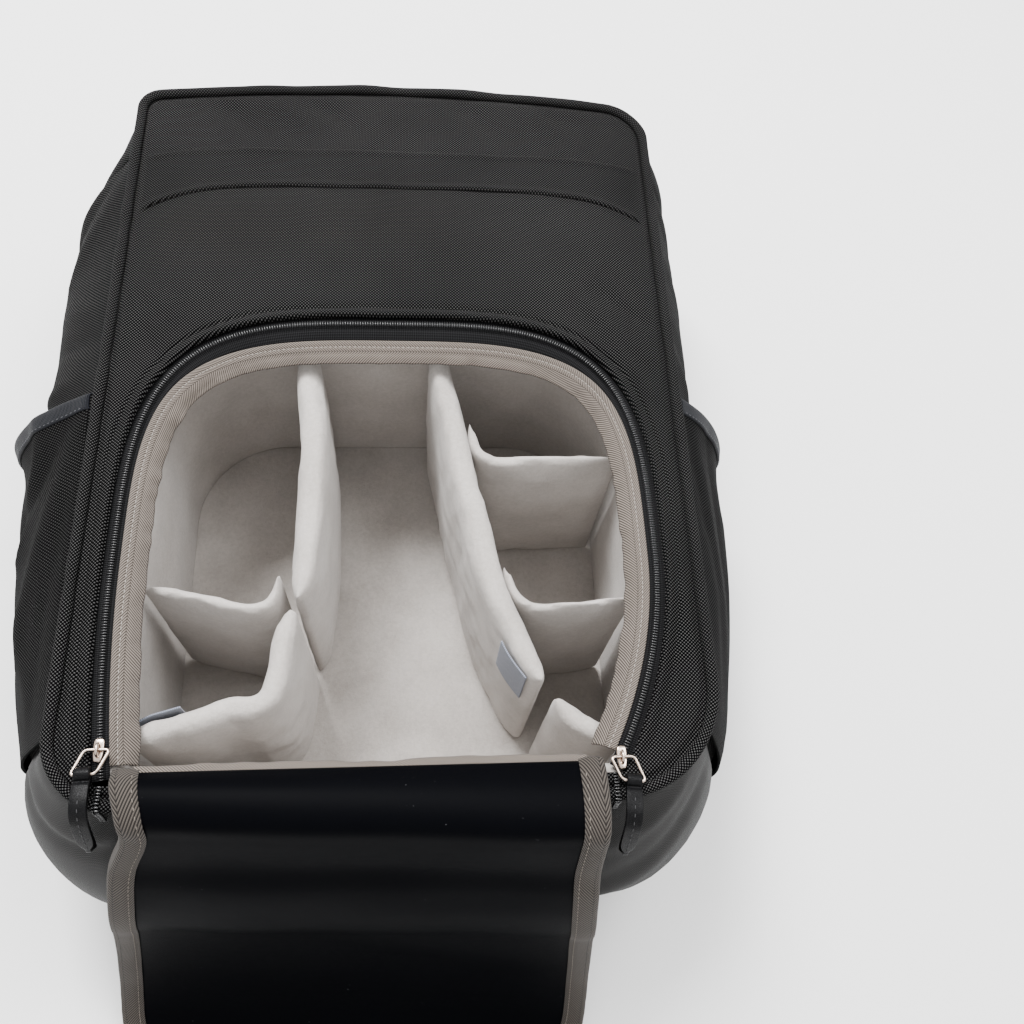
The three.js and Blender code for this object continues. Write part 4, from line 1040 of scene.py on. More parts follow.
@dataclass
class BodyShape:
    """The bag's main form, from the same sizes as the solids, in mm."""

    half_width: float = 167.0
    top_y: float = 225.0
    bottom_y: float = -234.0
    top_bow: float = 12.0
    bottom_bow: float = 6.0
    corners: tuple[float, float, float, float] = (32.0, 10.0, 24.0, 52.0)
    base_seams: tuple[float, float] = (32.0, 30.0)
    depth: float = 178.0
    back_z: float = 12.3
    dome: float = 5.0
    piping: float = 3.2
    piping_outset: float = 1.5
    gap: float = 0.3
    bulge_left: tuple[float, float] = (38.0, 60.0)
    bulge_right: tuple[float, float] = (24.0, 34.0)
    shoulder: float = 0.28
    bulge_top: float = 16.0
    bulge_base: float = 42.0
    bulge_blend: float = 70.0
    pocket_mouth: float = 0.0
    seam_y: float = 188.0
    outline: Route = field(init=False)

    def __post_init__(self) -> None:
        """Works out the front seam's outline."""
        self.outline = Route(self._outline(), closed=True)

    @property
    def front_z(self) -> float:
        """Height of the front seam above the ground."""
        return self.back_z + self.depth

    @property
    def wall_top(self) -> float:
        """Height where the gusset ends under the piping."""
        return self.front_z - self.piping - self.gap

    def _outline(self) -> Array:
        """A rectangle with four corner radii whose ends bow out as 1 - (x / w) squared."""
        w, top, bottom = self.half_width, self.top_y, self.bottom_y
        bl, tl, tr, br = self.corners
        turns = [
            arc(-w + bl, bottom + bl, bl, 270, 180),
            arc(-w + tl, top - tl, tl, 180, 90),
            arc(w - tr, top - tr, tr, 90, 0),
            arc(w - br, bottom + br, br, 0, -90),
        ]
        stops = np.array([[0.0, bottom]])
        rows = [stops]
        last = stops[0]
        for turn in [*turns, stops]:
            rows.append(lerp(last, turn[0], shares(31)[1:-1, None]))
            rows.append(turn if len(turn) > 1 else turn[:0])
            last = turn[-1]
        p = np.vstack(rows)
        bow = 1 - (p[:, 0] / w) ** 2
        reach = np.where(p[:, 1] > 0, p[:, 1] / top * self.top_bow, -p[:, 1] / bottom * self.bottom_bow)
        p[:, 1] += bow * reach
        return p

    def side_share(self, side: Side, y: float) -> float:
        """The outline's share at a height on one side."""
        start, end = (0.1, 0.42) if side is Side.LEFT else (0.9, 0.55)
        return self.outline.share_at_y(y, start, end)

    def bulge(self, normal: Array, y: Array) -> Array:
        """How far the gusset stands out: side and end bulges weighted by the normal squared."""
        upper = smooth((y - self.pocket_mouth + self.bulge_blend / 2) / self.bulge_blend)
        left = lerp(*self.bulge_left, upper)
        right = lerp(*self.bulge_right, upper)
        nx, ny = normal[..., 0], normal[..., 1]
        left = left * (1 - self.shoulder * smooth((y - 172) / 45))
        across = np.where(nx < 0, left, right)
        ends = np.where(ny < 0, self.bulge_base, self.bulge_top)
        return across * nx**2 + ends * ny**2

    def wall(self, share: Array, level: Array, extra: Array | float = 0.0) -> Array:
        """Points of the gusset: the outline moved out by bulge * sin(pi * level)."""
        xy = self.outline.at(share)
        normal = self.outline.normal(share, 9.0)
        out = self.bulge(normal, xy[..., 1]) * np.sin(np.pi * np.clip(level, 0, 1)) + extra
        flat = xy + normal * out[..., None]
        z = lerp(self.back_z, self.wall_top, level) + 0 * out
        return np.concatenate([flat, z[..., None]], axis=-1)

    def front(self, x: Array, y: Array) -> Array:
        """Height of the front: a dome that is flat near its edges."""
        reach = np.where(y > 0, self.top_y + self.top_bow, -self.bottom_y + self.bottom_bow)
        across = 1 - np.abs(np.clip(x / self.half_width, -1, 1)) ** 3
        along = 1 - np.abs(np.clip(y / reach, -1, 1)) ** 4
        height = self.front_z + self.dome * across * along
        for cx, cy, wide, tall, deep in (
            (-0.36, 0.90, 0.16, 0.10, 2.7),
            (0.12, 0.88, 0.13, 0.09, 1.8),
            (0.42, 0.86, 0.14, 0.10, 1.5),
        ):
            dx = (x / self.half_width - cx) / wide
            dy = (y / self.top_y - cy) / tall
            height = height - deep * bell(np.hypot(dx, dy)) * across
        return height


@dataclass
class ZipShape:
    """The U-shaped zip and what lies beside it, in mm."""

    body: BodyShape
    centre_x: float = -2.0
    shoulder_y: float = -110.0
    side_margin: float = 20.0
    top_y: float = 41.5
    squareness: float = 3.5
    narrowing: tuple[float, float] = (9.0, 33.0)
    hinge_margin: float = 6.0
    tape_inside: float = 3.5
    tape_outside: float = 8.0
    edge_offset: float = 4.5
    binding_width: float = 13.0
    binding_slope: float = 8.0
    route: Route = field(init=False)

    def __post_init__(self) -> None:
        """Works out the U from the left foot round the top to the right foot."""
        half = self.half_width
        t = 1 - np.arange(30) / 30
        y = lerp(self.shoulder_y, self.hinge_y, t)
        left = np.stack([self.centre_x - (half - self.narrowing[0] * t * t), y], axis=-1)
        right = np.stack([self.centre_x + (half - self.narrowing[1] * t * t), y], axis=-1)[::-1]
        angle = np.pi * (1 - np.arange(181) / 180)
        c, s = np.cos(angle), np.maximum(np.sin(angle), 0)
        power = 2 / self.squareness
        arch = np.stack(
            [
                self.centre_x + half * np.sign(c) * np.abs(c) ** power,
                self.shoulder_y + (self.top_y - self.shoulder_y) * s**power,
            ],
            axis=-1,
        )
        self.route = Route(np.vstack([left, arch, right]))

    @property
    def half_width(self) -> float:
        """Half the U's width at its shoulders."""
        return self.body.half_width - self.side_margin

    @property
    def hinge_y(self) -> float:
        """Where the flap's hinge lies."""
        return self.body.bottom_y + self.hinge_margin

    def feet(self, foot_y: float) -> tuple[float, float]:
        """Shares of the U at a height above each foot."""
        return self.route.share_at_y(foot_y, 0.0, 0.4), self.route.share_at_y(foot_y, 1.0, 0.6)

    def inset(self, share: Array) -> Array:
        """How far the binding lies further in along the top: 5 mm times the normal's rise squared."""
        return 5.0 * np.clip(self.route.normal(share, 9.0)[..., 1], 0, 1) ** 2

    def beside(self, share: Array, distance: Array, depth: Array | float) -> Array:
        """Points beside the zip: a share, a distance outside it and a depth below the front."""
        xy = self.route.offset(share, distance)
        fall = self.binding_slope * np.clip((-np.asarray(distance) - self.tape_inside) / self.binding_width, 0, 1)
        z = self.body.front(xy[..., 0], xy[..., 1]) - depth - fall
        return np.concatenate([xy, z[..., None]], axis=-1)


def mesh_grid(a: Array, b: Array) -> tuple[Array, Array]:
    """Two coordinate grids with the first direction along rows."""
    return np.meshgrid(a, b, indexing="ij")


@dataclass
class Shell:
    """The bag's outer cloth: front, band, piping, gusset, base and back."""

    body: BodyShape
    zip: ZipShape
    cloth: float = 3.5
    front_cloth: float = 3.0
    ballistic: BasketWeave = BasketWeave()
    # The band's cloth is a darker copy of the shell cloth: painted shade.
    band_cloth: BasketWeave = BasketWeave(light=(0.058, 0.057, 0.0565))
    # The cloth of the sides and the top is a darker copy of the shell cloth: painted shade.
    side_cloth: BasketWeave = BasketWeave(light=(0.048, 0.047, 0.0465))
    base_cloth: FineWeave = FineWeave()

    front_creases: tuple[Crease, ...] = (
        Crease(118, 60, 152, 22, 5.0, 1.5),
        Crease(124, 72, 156, 46, 4.0, -1.2),
        Crease(128, 40, 154, -4, 4.5, 1.1),
        Crease(-150, 40, -132, 4, 5.0, -0.9),
        Crease(-152, 70, -128, 46, 6.0, 0.8),
        Crease(-120, 228, -96, 196, 9.0, -2.2),
        Crease(-92, 232, -58, 200, 9.0, 1.6),
        Crease(-66, 236, -30, 204, 8.0, -1.8),
        Crease(36, 236, 62, 206, 9.0, -1.9),
        Crease(76, 232, 104, 206, 8.0, 1.2),
        Crease(104, 226, 128, 204, 9.0, -1.2),
        Crease(-10, 120, 70, 96, 26.0, 0.8),
        Crease(-110, 96, -30, 84, 24.0, -0.7),
    )

    def build(self) -> None:
        """Makes and dresses every piece of the shell."""
        slot = "shell_cloth"
        Maker.dress(self.front_panel(), self.ballistic, slot, "front_panel")
        Maker.dress(self.front_band(), self.band_cloth, slot, "front_band")
        Maker.dress(self.front_piping(), BasketWeave(turn=0.0), slot, "front_piping")
        body = self.body
        bl, br = body.base_seams
        left_low = body.side_share(Side.LEFT, body.bottom_y + bl)
        left_high = body.side_share(Side.LEFT, body.seam_y)
        right_high = body.side_share(Side.RIGHT, body.seam_y)
        right_low = body.side_share(Side.RIGHT, body.bottom_y + br)
        for name, start, end in (
            ("side_panel_left", left_low, left_high),
            ("side_panel_right", right_high, right_low),
            ("top_panel", left_high, right_high),
        ):
            Maker.dress(self.gusset(name, start, end), self.side_cloth, slot, name)
        base = self.gusset("base_panel", right_low - 1, left_low)
        Maker.dress(base, self.base_cloth, "base_cloth", "base_panel")
        Maker.dress(self.back_panel(), AirMesh(), "back_cloth", "back_panel")

    def opening_edge(self, x: Array, y: Array) -> Array:
        """The opening's edge in the same direction from its middle as each seam point."""
        zip_shape = self.zip
        cx, cy = zip_shape.centre_x, zip_shape.shoulder_y
        edge = zip_shape.route.offset(shares(600), np.full(600, zip_shape.edge_offset))
        first, last = edge[0], edge[-1]
        floor = np.stack([np.linspace(last[0], first[0], 120)[1:-1], np.full(118, zip_shape.hinge_y)], axis=-1)
        ring = np.vstack([edge, floor])
        angle = np.arctan2(ring[:, 1] - cy, ring[:, 0] - cx)
        order = np.argsort(angle)
        want = np.arctan2(y - cy, x - cx)
        return np.stack([np.interp(want, angle[order], c[order], period=2 * np.pi) for c in ring.T], axis=-1)

    def front_height(self, x: Array, y: Array) -> Array:
        """The front with its folds, and slow waves of the loaded cloth."""
        folds = 1.6 * relief(x, y, self.front_creases)
        return self.body.front(x, y) + folds + 0.28 * ripple(x, y, 60.0, 5)

    def front_panel(self) -> bpy.types.Object:
        """The front: a ring from the piping to the zip, rolled under along the zip."""
        body = self.body
        around = shares(561)[:-1]
        across = np.r_[edge_shares(30, 0.9)[:-1] * 0.86, 0.86 + shares(16) * 0.14]
        seam = body.outline.offset(around, np.full(len(around), -0.4))
        edge = self.opening_edge(seam[:, 0], seam[:, 1])
        v = across[None, :, None]
        xy = lerp(seam[:, None, :], edge[:, None, :], v)
        x, y = xy[..., 0], xy[..., 1]
        to_edge = np.linalg.norm(edge - seam, axis=1)[:, None] * (1 - across[None, :])
        to_seam = np.linalg.norm(edge - seam, axis=1)[:, None] * across[None, :]
        flat = body.front(x, y)
        z = flat + (self.front_height(x, y) - flat) * smooth(to_seam / 12)
        at_hinge = smooth((y - self.zip.hinge_y - 4) / 14)
        roll = 1.5 * bell((to_edge - 2.6) / 1.9) - 1.4 * bell((to_edge - 7.6) / 1.1) - 1.6 * bell(to_edge / 0.8)
        z = z + roll * at_hinge
        z = z - 1.4 * (1 - smooth(to_seam / 5.0)) - 0.9 * bell((to_seam - 3.4) / 1.2) + 0.8 * bell((to_seam - 8) / 4)
        grid = np.stack([x, y, z], axis=-1)
        return Maker.cloth("front_panel", grid, self.front_cloth - 0.8, uv=grid[..., :2], wrap=True, flip=True)

    def front_band(self) -> bpy.types.Object:
        """The band across the upper front: puckered upper seam, soft lower lip."""
        half = self.body.half_width - 5.5
        u, v = mesh_grid(shares(340), edge_shares(34, 0.85))
        x = lerp(-half, half, u)
        end = np.abs(2 * u - 1) ** 6
        top_y = 181 - end * 8
        low_y = 147 - end * 22
        y = lerp(top_y, low_y, v)
        from_top, from_low = top_y - y, y - low_y
        pucker = 0.5 + 0.5 * np.sin(x * (2 * np.pi / 5.2) + 1.4 * np.sin(x / 17))
        lift = 0.9 + 0.9 * bell((from_top - 3.2) / 2.6) * (0.6 + 0.4 * pucker) - 0.9 * bell(from_top / 1.3)
        lift += 1.0 * bell((from_low - 2.0) / 2.6) + 0.25 * ripple(x, y, 34.0, 8)
        lift -= 0.8 * bell(from_low / 0.8)
        lift *= smooth((1 - np.abs(2 * u - 1)) * 26) * 0.9 + 0.1
        grid = np.stack([x, y, self.front_height(x, y) + 0.15 + lift], axis=-1)
        return Maker.cloth("front_band", grid, 1.0, uv=grid[..., :2], flip=True)

    def front_piping(self) -> bpy.types.Object:
        """The piping: a cord along the seam, with slight unevenness."""
        body = self.body
        around = shares(701)[:-1]
        xy = body.outline.offset(around, np.full(len(around), body.piping_outset))
        wave = 0.35 * ripple(xy[:, 0], xy[:, 1], 42.0, 11)
        path = np.column_stack([xy, np.full(len(around), body.front_z + 0.1) + wave])
        radius = body.piping * (1 + 0.05 * ripple(xy[:, 0], xy[:, 1], 25.0, 12))
        return Maker.tube("front_piping", path[::-1], radius[::-1], sides=14, closed=True)

    def wall_folds(self, name: str, along: Array, level: Array, length: float) -> Array:
        """Folds of one gusset panel, from its own table."""
        height = level * self.body.depth
        folds = relief(along, height, GUSSET_CREASES.get(name, ()))
        return 1.5 * folds + 0.6 * ripple(along, height, 70.0, len(name))

    def gusset(self, name: str, start: float, end: float) -> bpy.types.Object:
        """One panel of the gusset, pinched at its end seams.

        Args:
            name: The panel's name.
            start: Its first share of the outline.
            end: Its last share.

        Returns:
            The panel's object.
        """
        body = self.body
        length = (end - start) * body.outline.length
        trim = 0.15 / body.outline.length
        u, v = mesh_grid(edge_shares(int(length / 2.6), 0.25), edge_shares(72, 0.3))
        share = lerp(start + trim, end - trim, u)
        from_end = np.minimum(u, 1 - u) * length
        pinch = -3.4 * bell(from_end / 2.6) - 2.4 * bell(from_end / 9.0)
        fade = np.sin(np.pi * np.clip(v, 0, 1)) ** 0.5
        extra = (pinch + self.wall_folds(name, u * length, v, length)) * fade
        grid = body.wall(share, v, extra)
        uv = np.stack([u * length, v * body.depth * 1.12], axis=-1)
        return Maker.cloth(name, grid, self.cloth - 0.9, uv=uv, flip=True)

    def back_panel(self) -> bpy.types.Object:
        """The back: a plate inside the gusset with a rounded edge."""
        body = self.body
        rows = np.array(
            [[4.1, 8.0], [4.1, 3.2], [5.4, 1.2], [8.5, 0.1], [14, 0.0], [60, 0.0], [120, 0.0], [160, 0.0]]
        )
        return plate("back_panel", body.outline, rows, body.back_z, 8.0, 420)


GUSSET_CREASES: dict[str, tuple[Crease, ...]] = {
    "side_panel_left": (
        Crease(385, 168, 352, 110, 8.0, -2.6),
        Crease(366, 172, 318, 120, 9.0, 2.0),
        Crease(240, 172, 262, 118, 7.0, -2.2),
        Crease(258, 174, 290, 128, 8.0, 1.8),
        Crease(224, 150, 232, 96, 6.0, 1.6),
        Crease(300, 100, 352, 60, 14.0, 1.5),
    ),
    "side_panel_right": (
        Crease(10, 168, 44, 112, 8.0, -2.2),
        Crease(60, 170, 92, 128, 9.0, 1.6),
        Crease(120, 172, 146, 120, 8.0, -1.6),
        Crease(140, 172, 168, 132, 7.0, 1.5),
    ),
    "top_panel": (
        Crease(24, 160, 30, 90, 9.0, -2.4),
        Crease(60, 168, 52, 100, 9.0, 1.8),
        Crease(350, 160, 344, 90, 9.0, -2.0),
        Crease(150, 150, 220, 120, 18.0, 1.2),
    ),
    "base_panel": (
        Crease(300, 168, 344, 142, 5.0, 2.2),
        Crease(306, 156, 372, 128, 5.0, -2.0),
        Crease(330, 172, 382, 150, 5.0, 1.6),
        Crease(352, 150, 388, 96, 8.0, 2.0),
        Crease(24, 166, 66, 146, 5.0, 2.0),
        Crease(14, 150, 60, 122, 6.0, -2.0),
        Crease(40, 130, 80, 92, 9.0, 2.0),
    ),
}


def plate(name: str, route: Route, rows: Array, low: float, thickness: float, count: int) -> bpy.types.Object:
    """A cushioned plate with a curved outline.

    Its section is given from the edge inwards: the upper and lower faces mirror each
    other about the middle height, and both close at the middle.

    Args:
        name: The piece's name.
        route: The closed outline.
        rows: Inset from the outline and height above the bottom for the lower half.
        low: The bottom's height.
        thickness: The plate's thickness.
        count: Points round the outline.

    Returns:
        The plate's object.
    """
    around = shares(count + 1)[:-1]
    insets, heights = rows[:, 0], np.minimum(rows[:, 1], thickness / 2)
    full_in = np.r_[insets[::-1], insets]
    full_z = np.r_[heights[::-1], thickness - heights]
    centre = route.at(around).mean(axis=0)
    outer = route.offset(around, np.full(count, -insets.min()))
    reach = np.linalg.norm(outer - centre, axis=1)[:, None]
    shrink = np.clip(1 - (full_in - insets.min())[None, :] / reach, 0.02, 1.0)
    xy = centre + (outer - centre)[:, None, :] * shrink[..., None]
    z = np.broadcast_to(low + full_z, xy.shape[:2])
    grid = np.concatenate([xy, z[..., None]], axis=-1)
    nv = len(full_z)
    faces = Maker.quads(count, nv, wrap_u=True, flip=True).tolist()
    faces.append([k * nv for k in range(count)])
    faces.append([k * nv + nv - 1 for k in range(count)][::-1])
    return Maker.mesh(name, grid.reshape(-1, 3), faces, grid.reshape(-1, 3)[:, :2])


@dataclass
class Compartment:
    """The padded insert: floor, wall and dividers."""

    body: BodyShape
    zip: ZipShape
    side_margin: float = 6.0
    end_margin: float = 4.5
    bottom_margin: float = 7.0
    corner_top: float = 62.0
    corner_bottom: float = 22.0
    wall: float = 9.0
    floor: float = 9.0
    rim_drop: float = 6.0
    fleece: Fleece = Fleece()
    route: Route = field(init=False)

    def __post_init__(self) -> None:
        """Works out the insert's inside face."""
        w = self.zip.half_width - self.side_margin
        top, low = self.top_y, self.bottom_y
        ct, cb = self.corner_top, self.corner_bottom
        points = np.vstack(
            [
                arc(-w + cb, low + cb, cb, 270, 180),
                arc(-w + ct, top - ct, ct, 180, 90, 21),
                arc(w - ct, top - ct, ct, 90, 0, 21),
                arc(w - cb, low + cb, cb, 0, -90),
            ]
        )
        points[:, 0] += self.zip.centre_x
        self.route = Route(points, closed=True)

    @property
    def half_width(self) -> float:
        """Half the inside width."""
        return self.zip.half_width - self.side_margin

    @property
    def top_y(self) -> float:
        """The inside's top end."""
        return self.zip.top_y + self.end_margin

    @property
    def bottom_y(self) -> float:
        """The inside's bottom end."""
        return self.zip.hinge_y + self.bottom_margin

    @property
    def floor_z(self) -> float:
        """The floor's underside."""
        return self.body.back_z + 8.0 + self.body.gap

    @property
    def inside_z(self) -> float:
        """The floor's upper face."""
        return self.floor_z + self.floor

    @property
    def rim_z(self) -> float:
        """The wall's upper edge."""
        return self.body.front_z - self.rim_drop

    def build(self) -> None:
        """Makes and dresses the floor, the wall, the dividers and their patches."""
        rows = np.array([[-8.9, 4.5], [-8.9, 2.0], [-7.6, 0.4], [-5, 0.0], [20, 0.0], [60, 0.0], [110, 0.0]])
        base = plate("insert_floor", self.route, rows, self.floor_z, self.floor, 260)
        Maker.dress(base, self.fleece, "fleece", "insert_floor")
        Maker.dress(self.wall_ring(), self.fleece, "fleece", "insert_wall")
        for divider in DIVIDERS:
            DividerMaker(self, divider).build()

    def wall_ring(self) -> bpy.types.Object:
        """The wall: a rounded section carried round the insert, with soft padding."""
        around = shares(421)[:-1]
        low, high, w = self.inside_z + 0.4, self.rim_z, self.wall
        section = np.array(
            [
                [0.2, low], [0.0, low + 1.5], [0.0, low + 20], [0.0, low + 50], [0.0, low + 80], [0.0, high - 34],
                [0.0, high - 16], [0.0, high - 7], [0.5, high - 3.6], [1.7, high - 1.4], [3.2, high - 0.3], [4.5, high],
                [5.8, high - 0.3], [7.3, high - 1.4], [8.5, high - 3.6], [w, high - 7], [w, high - 50], [w, low + 30],
                [w, low + 1.5], [w - 0.2, low],
            ]
        )
        share, row = mesh_grid(around, np.arange(len(section)))
        out, z = section[row.astype(int), 0], section[row.astype(int), 1]
        inner = smooth((w / 2 - out) / (w / 2)) * smooth((z - low) / 30) * smooth((high - z) / 22)
        pad = 0.9 * inner * ripple(share * self.route.length, z, 46.0, 21)
        xy = self.route.offset(share, out + pad)
        grid = np.concatenate([xy, z[..., None]], axis=-1)
        faces = Maker.quads(len(around), len(section), wrap_u=True, wrap_v=True, flip=False)
        return Maker.mesh("insert_wall", grid.reshape(-1, 3), faces)


@dataclass(frozen=True)
class Divider:
    """One soft divider: its route as shares of the insert, its thickness and its drop.

    x is a share of the insert's half width from its centre line, y a share of its length
    from the top end. seam is how far below its top a sewn line runs, 0 for none.
    """

    name: str
    route: tuple[tuple[float, float], ...]
    thickness: float
    drop: float
    seam: float = 0.0
    patch_gap: float = 3.3


DIVIDERS: tuple[Divider, ...] = (
    Divider(
        "long_left",
        ((-0.369, 0.004), (-0.369, 0.09), (-0.331, 0.232), (-0.332, 0.425), (-0.348, 0.578), (-0.367, 0.648)),
        12.0,
        8.0,
    ),
    Divider(
        "lower_left",
        (
            (-0.378, 0.664), (-0.409, 0.725), (-0.424, 0.800), (-0.452, 0.852), (-0.513, 0.868),
            (-0.590, 0.868), (-0.690, 0.888), (-0.800, 0.905), (-0.900, 0.920), (-0.955, 0.930),
        ),
        12.0,
        8.0,
        0.1,
    ),
    Divider(
        "cross_left",
        ((-0.985, 0.603), (-0.745, 0.633), (-0.530, 0.656), (-0.468, 0.640), (-0.446, 0.573)),
        6.0,
        15.0,
    ),
    Divider(
        "long_right",
        (
            (0.206, 0.004), (0.206, 0.082), (0.252, 0.191), (0.302, 0.360), (0.345, 0.455),
            (0.392, 0.588), (0.424, 0.644), (0.480, 0.708), (0.530, 0.770), (0.590, 0.832),
        ),
        12.0,
        8.0,
    ),
    Divider(
        "lower_right",
        ((0.622, 0.858), (0.660, 0.884), (0.722, 0.912), (0.800, 0.936), (0.885, 0.952)),
        12.0,
        8.0,
        7.0,
    ),
    Divider(
        "cross_right_upper",
        ((0.334, 0.215), (0.366, 0.290), (0.430, 0.308), (0.624, 0.308), (0.985, 0.305)),
        6.0,
        15.0,
    ),
    Divider(
        "cross_right_lower",
        ((0.462, 0.560), (0.502, 0.635), (0.560, 0.657), (0.700, 0.657), (0.985, 0.642)),
        6.0,
        15.0,
        3.0,
    ),
)


@dataclass
class DividerMaker:
    """Builds one divider in its insert."""

    room: Compartment
    plan: Divider

    def build(self) -> None:
        """Makes, pads and dresses the divider and its patch."""
        piece = self.board()
        node = f"divider_{self.plan.name}"
        Padding(voxel=3.0, pressure=0.8, cap=2.4).fill(piece)
        Maker.dress(piece, self.room.fleece, "fleece", node)
        patches = {"long_right": ("patch_right", 0.915), "lower_left": ("patch_left", 0.86)}
        if self.plan.name in patches:
            name, share = patches[self.plan.name]
            Maker.dress(self.patch(name, share), HookTape(), "hook_patch", name)

    def route(self) -> Route:
        """The divider's middle line, in mm."""
        room = self.room
        length = room.top_y - room.bottom_y
        points = [(room.zip.centre_x + x * room.half_width, room.top_y - y * length) for x, y in self.plan.route]
        return Route(spline(points))

    def board(self) -> bpy.types.Object:
        """A padded board: a rounded section carried along the route, thinner at its ends.

        The section's half width at height h is a super-ellipse near the top and the
        bottom; the faces swell a little between, and a sewn line pulls them in.
        """
        plan, route = self.plan, self.route()
        top = self.room.rim_z - plan.drop
        low = self.room.inside_z + 0.4
        half = plan.thickness / 2
        turn = np.linspace(-np.pi / 2, np.pi / 2, 13)
        crown_x, crown_z = half * np.cos(turn), half * np.sin(turn)
        side_z = np.linspace(low + half * 0.6, top - half, 24)
        right = np.column_stack([np.full(24, half), side_z])
        cap = np.column_stack([crown_x[6:], top - half + crown_z[6:]])
        outer = np.vstack([[[half * 0.72, low]], right, cap[1:]])
        section = np.vstack([outer, (outer * [-1, 1])[::-1][1:]])
        count = max(int(route.length / 2.2), 24)
        share, row = mesh_grid(edge_shares(count, 0.3), np.arange(len(section)))
        w, z = section[row.astype(int), 0], section[row.astype(int), 1]
        along = share * route.length
        from_end = np.minimum(along, route.length - along)
        taper = lerp(0.5, 1.0, smooth(from_end / 14)) * np.sqrt(np.clip(from_end / 3.0, 0.05, 1.0))
        swell = 1 + 0.10 * np.sin(np.pi * np.clip((z - low) / (top - low), 0, 1))
        side = np.sign(w)
        dent = 0.0
        if plan.seam > 0:
            depth_under = top - z
            dent = 0.16 * plan.thickness * bell((depth_under - plan.seam) / 1.6) * (np.abs(w) > half * 0.4)
        rough = 0.35 * ripple(along, z, 24.0, 31 + len(plan.name)) + 0.16 * ripple(along, z, 5.0, 32 + len(plan.name))
        offset = w * swell * taper + side * (rough - dent) * taper
        dip = 0.5 * ripple(along, 0 * z, 40.0, 40 + len(plan.name)) - 0.8
        xy = route.offset(share, offset)
        z = z + dip * smooth((z - top + 30) / 30)
        grid = np.concatenate([xy, z[..., None]], axis=-1)
        nv = len(section)
        faces = Maker.quads(count, nv, wrap_v=True).tolist()
        faces += [list(range(nv)), list(range(count * nv - 1, (count - 1) * nv - 1, -1))]
        return Maker.mesh(f"divider_{plan.name}", grid.reshape(-1, 3), faces)

    def patch(self, name: str, share: float) -> bpy.types.Object:
        """A patch of hook tape on the divider's side, standing just off the fleece."""
        route, half = self.route(), self.plan.thickness / 2
        top = self.room.rim_z - self.plan.drop - half - 0.3
        span = 12.0 / route.length
        u, v = mesh_grid(shares(30), shares(46))
        at = share + lerp(-span, span, u)
        taper = lerp(0.55, 1.0, smooth(np.minimum(at, 1 - at) * 8))
        xy = route.offset(at, -(half * 1.12 * taper + self.plan.patch_gap))
        grid = np.concatenate([xy, lerp(top - 42, top, v)[..., None]], axis=-1)
        return Maker.cloth(name, grid, 0.9, flip=False)


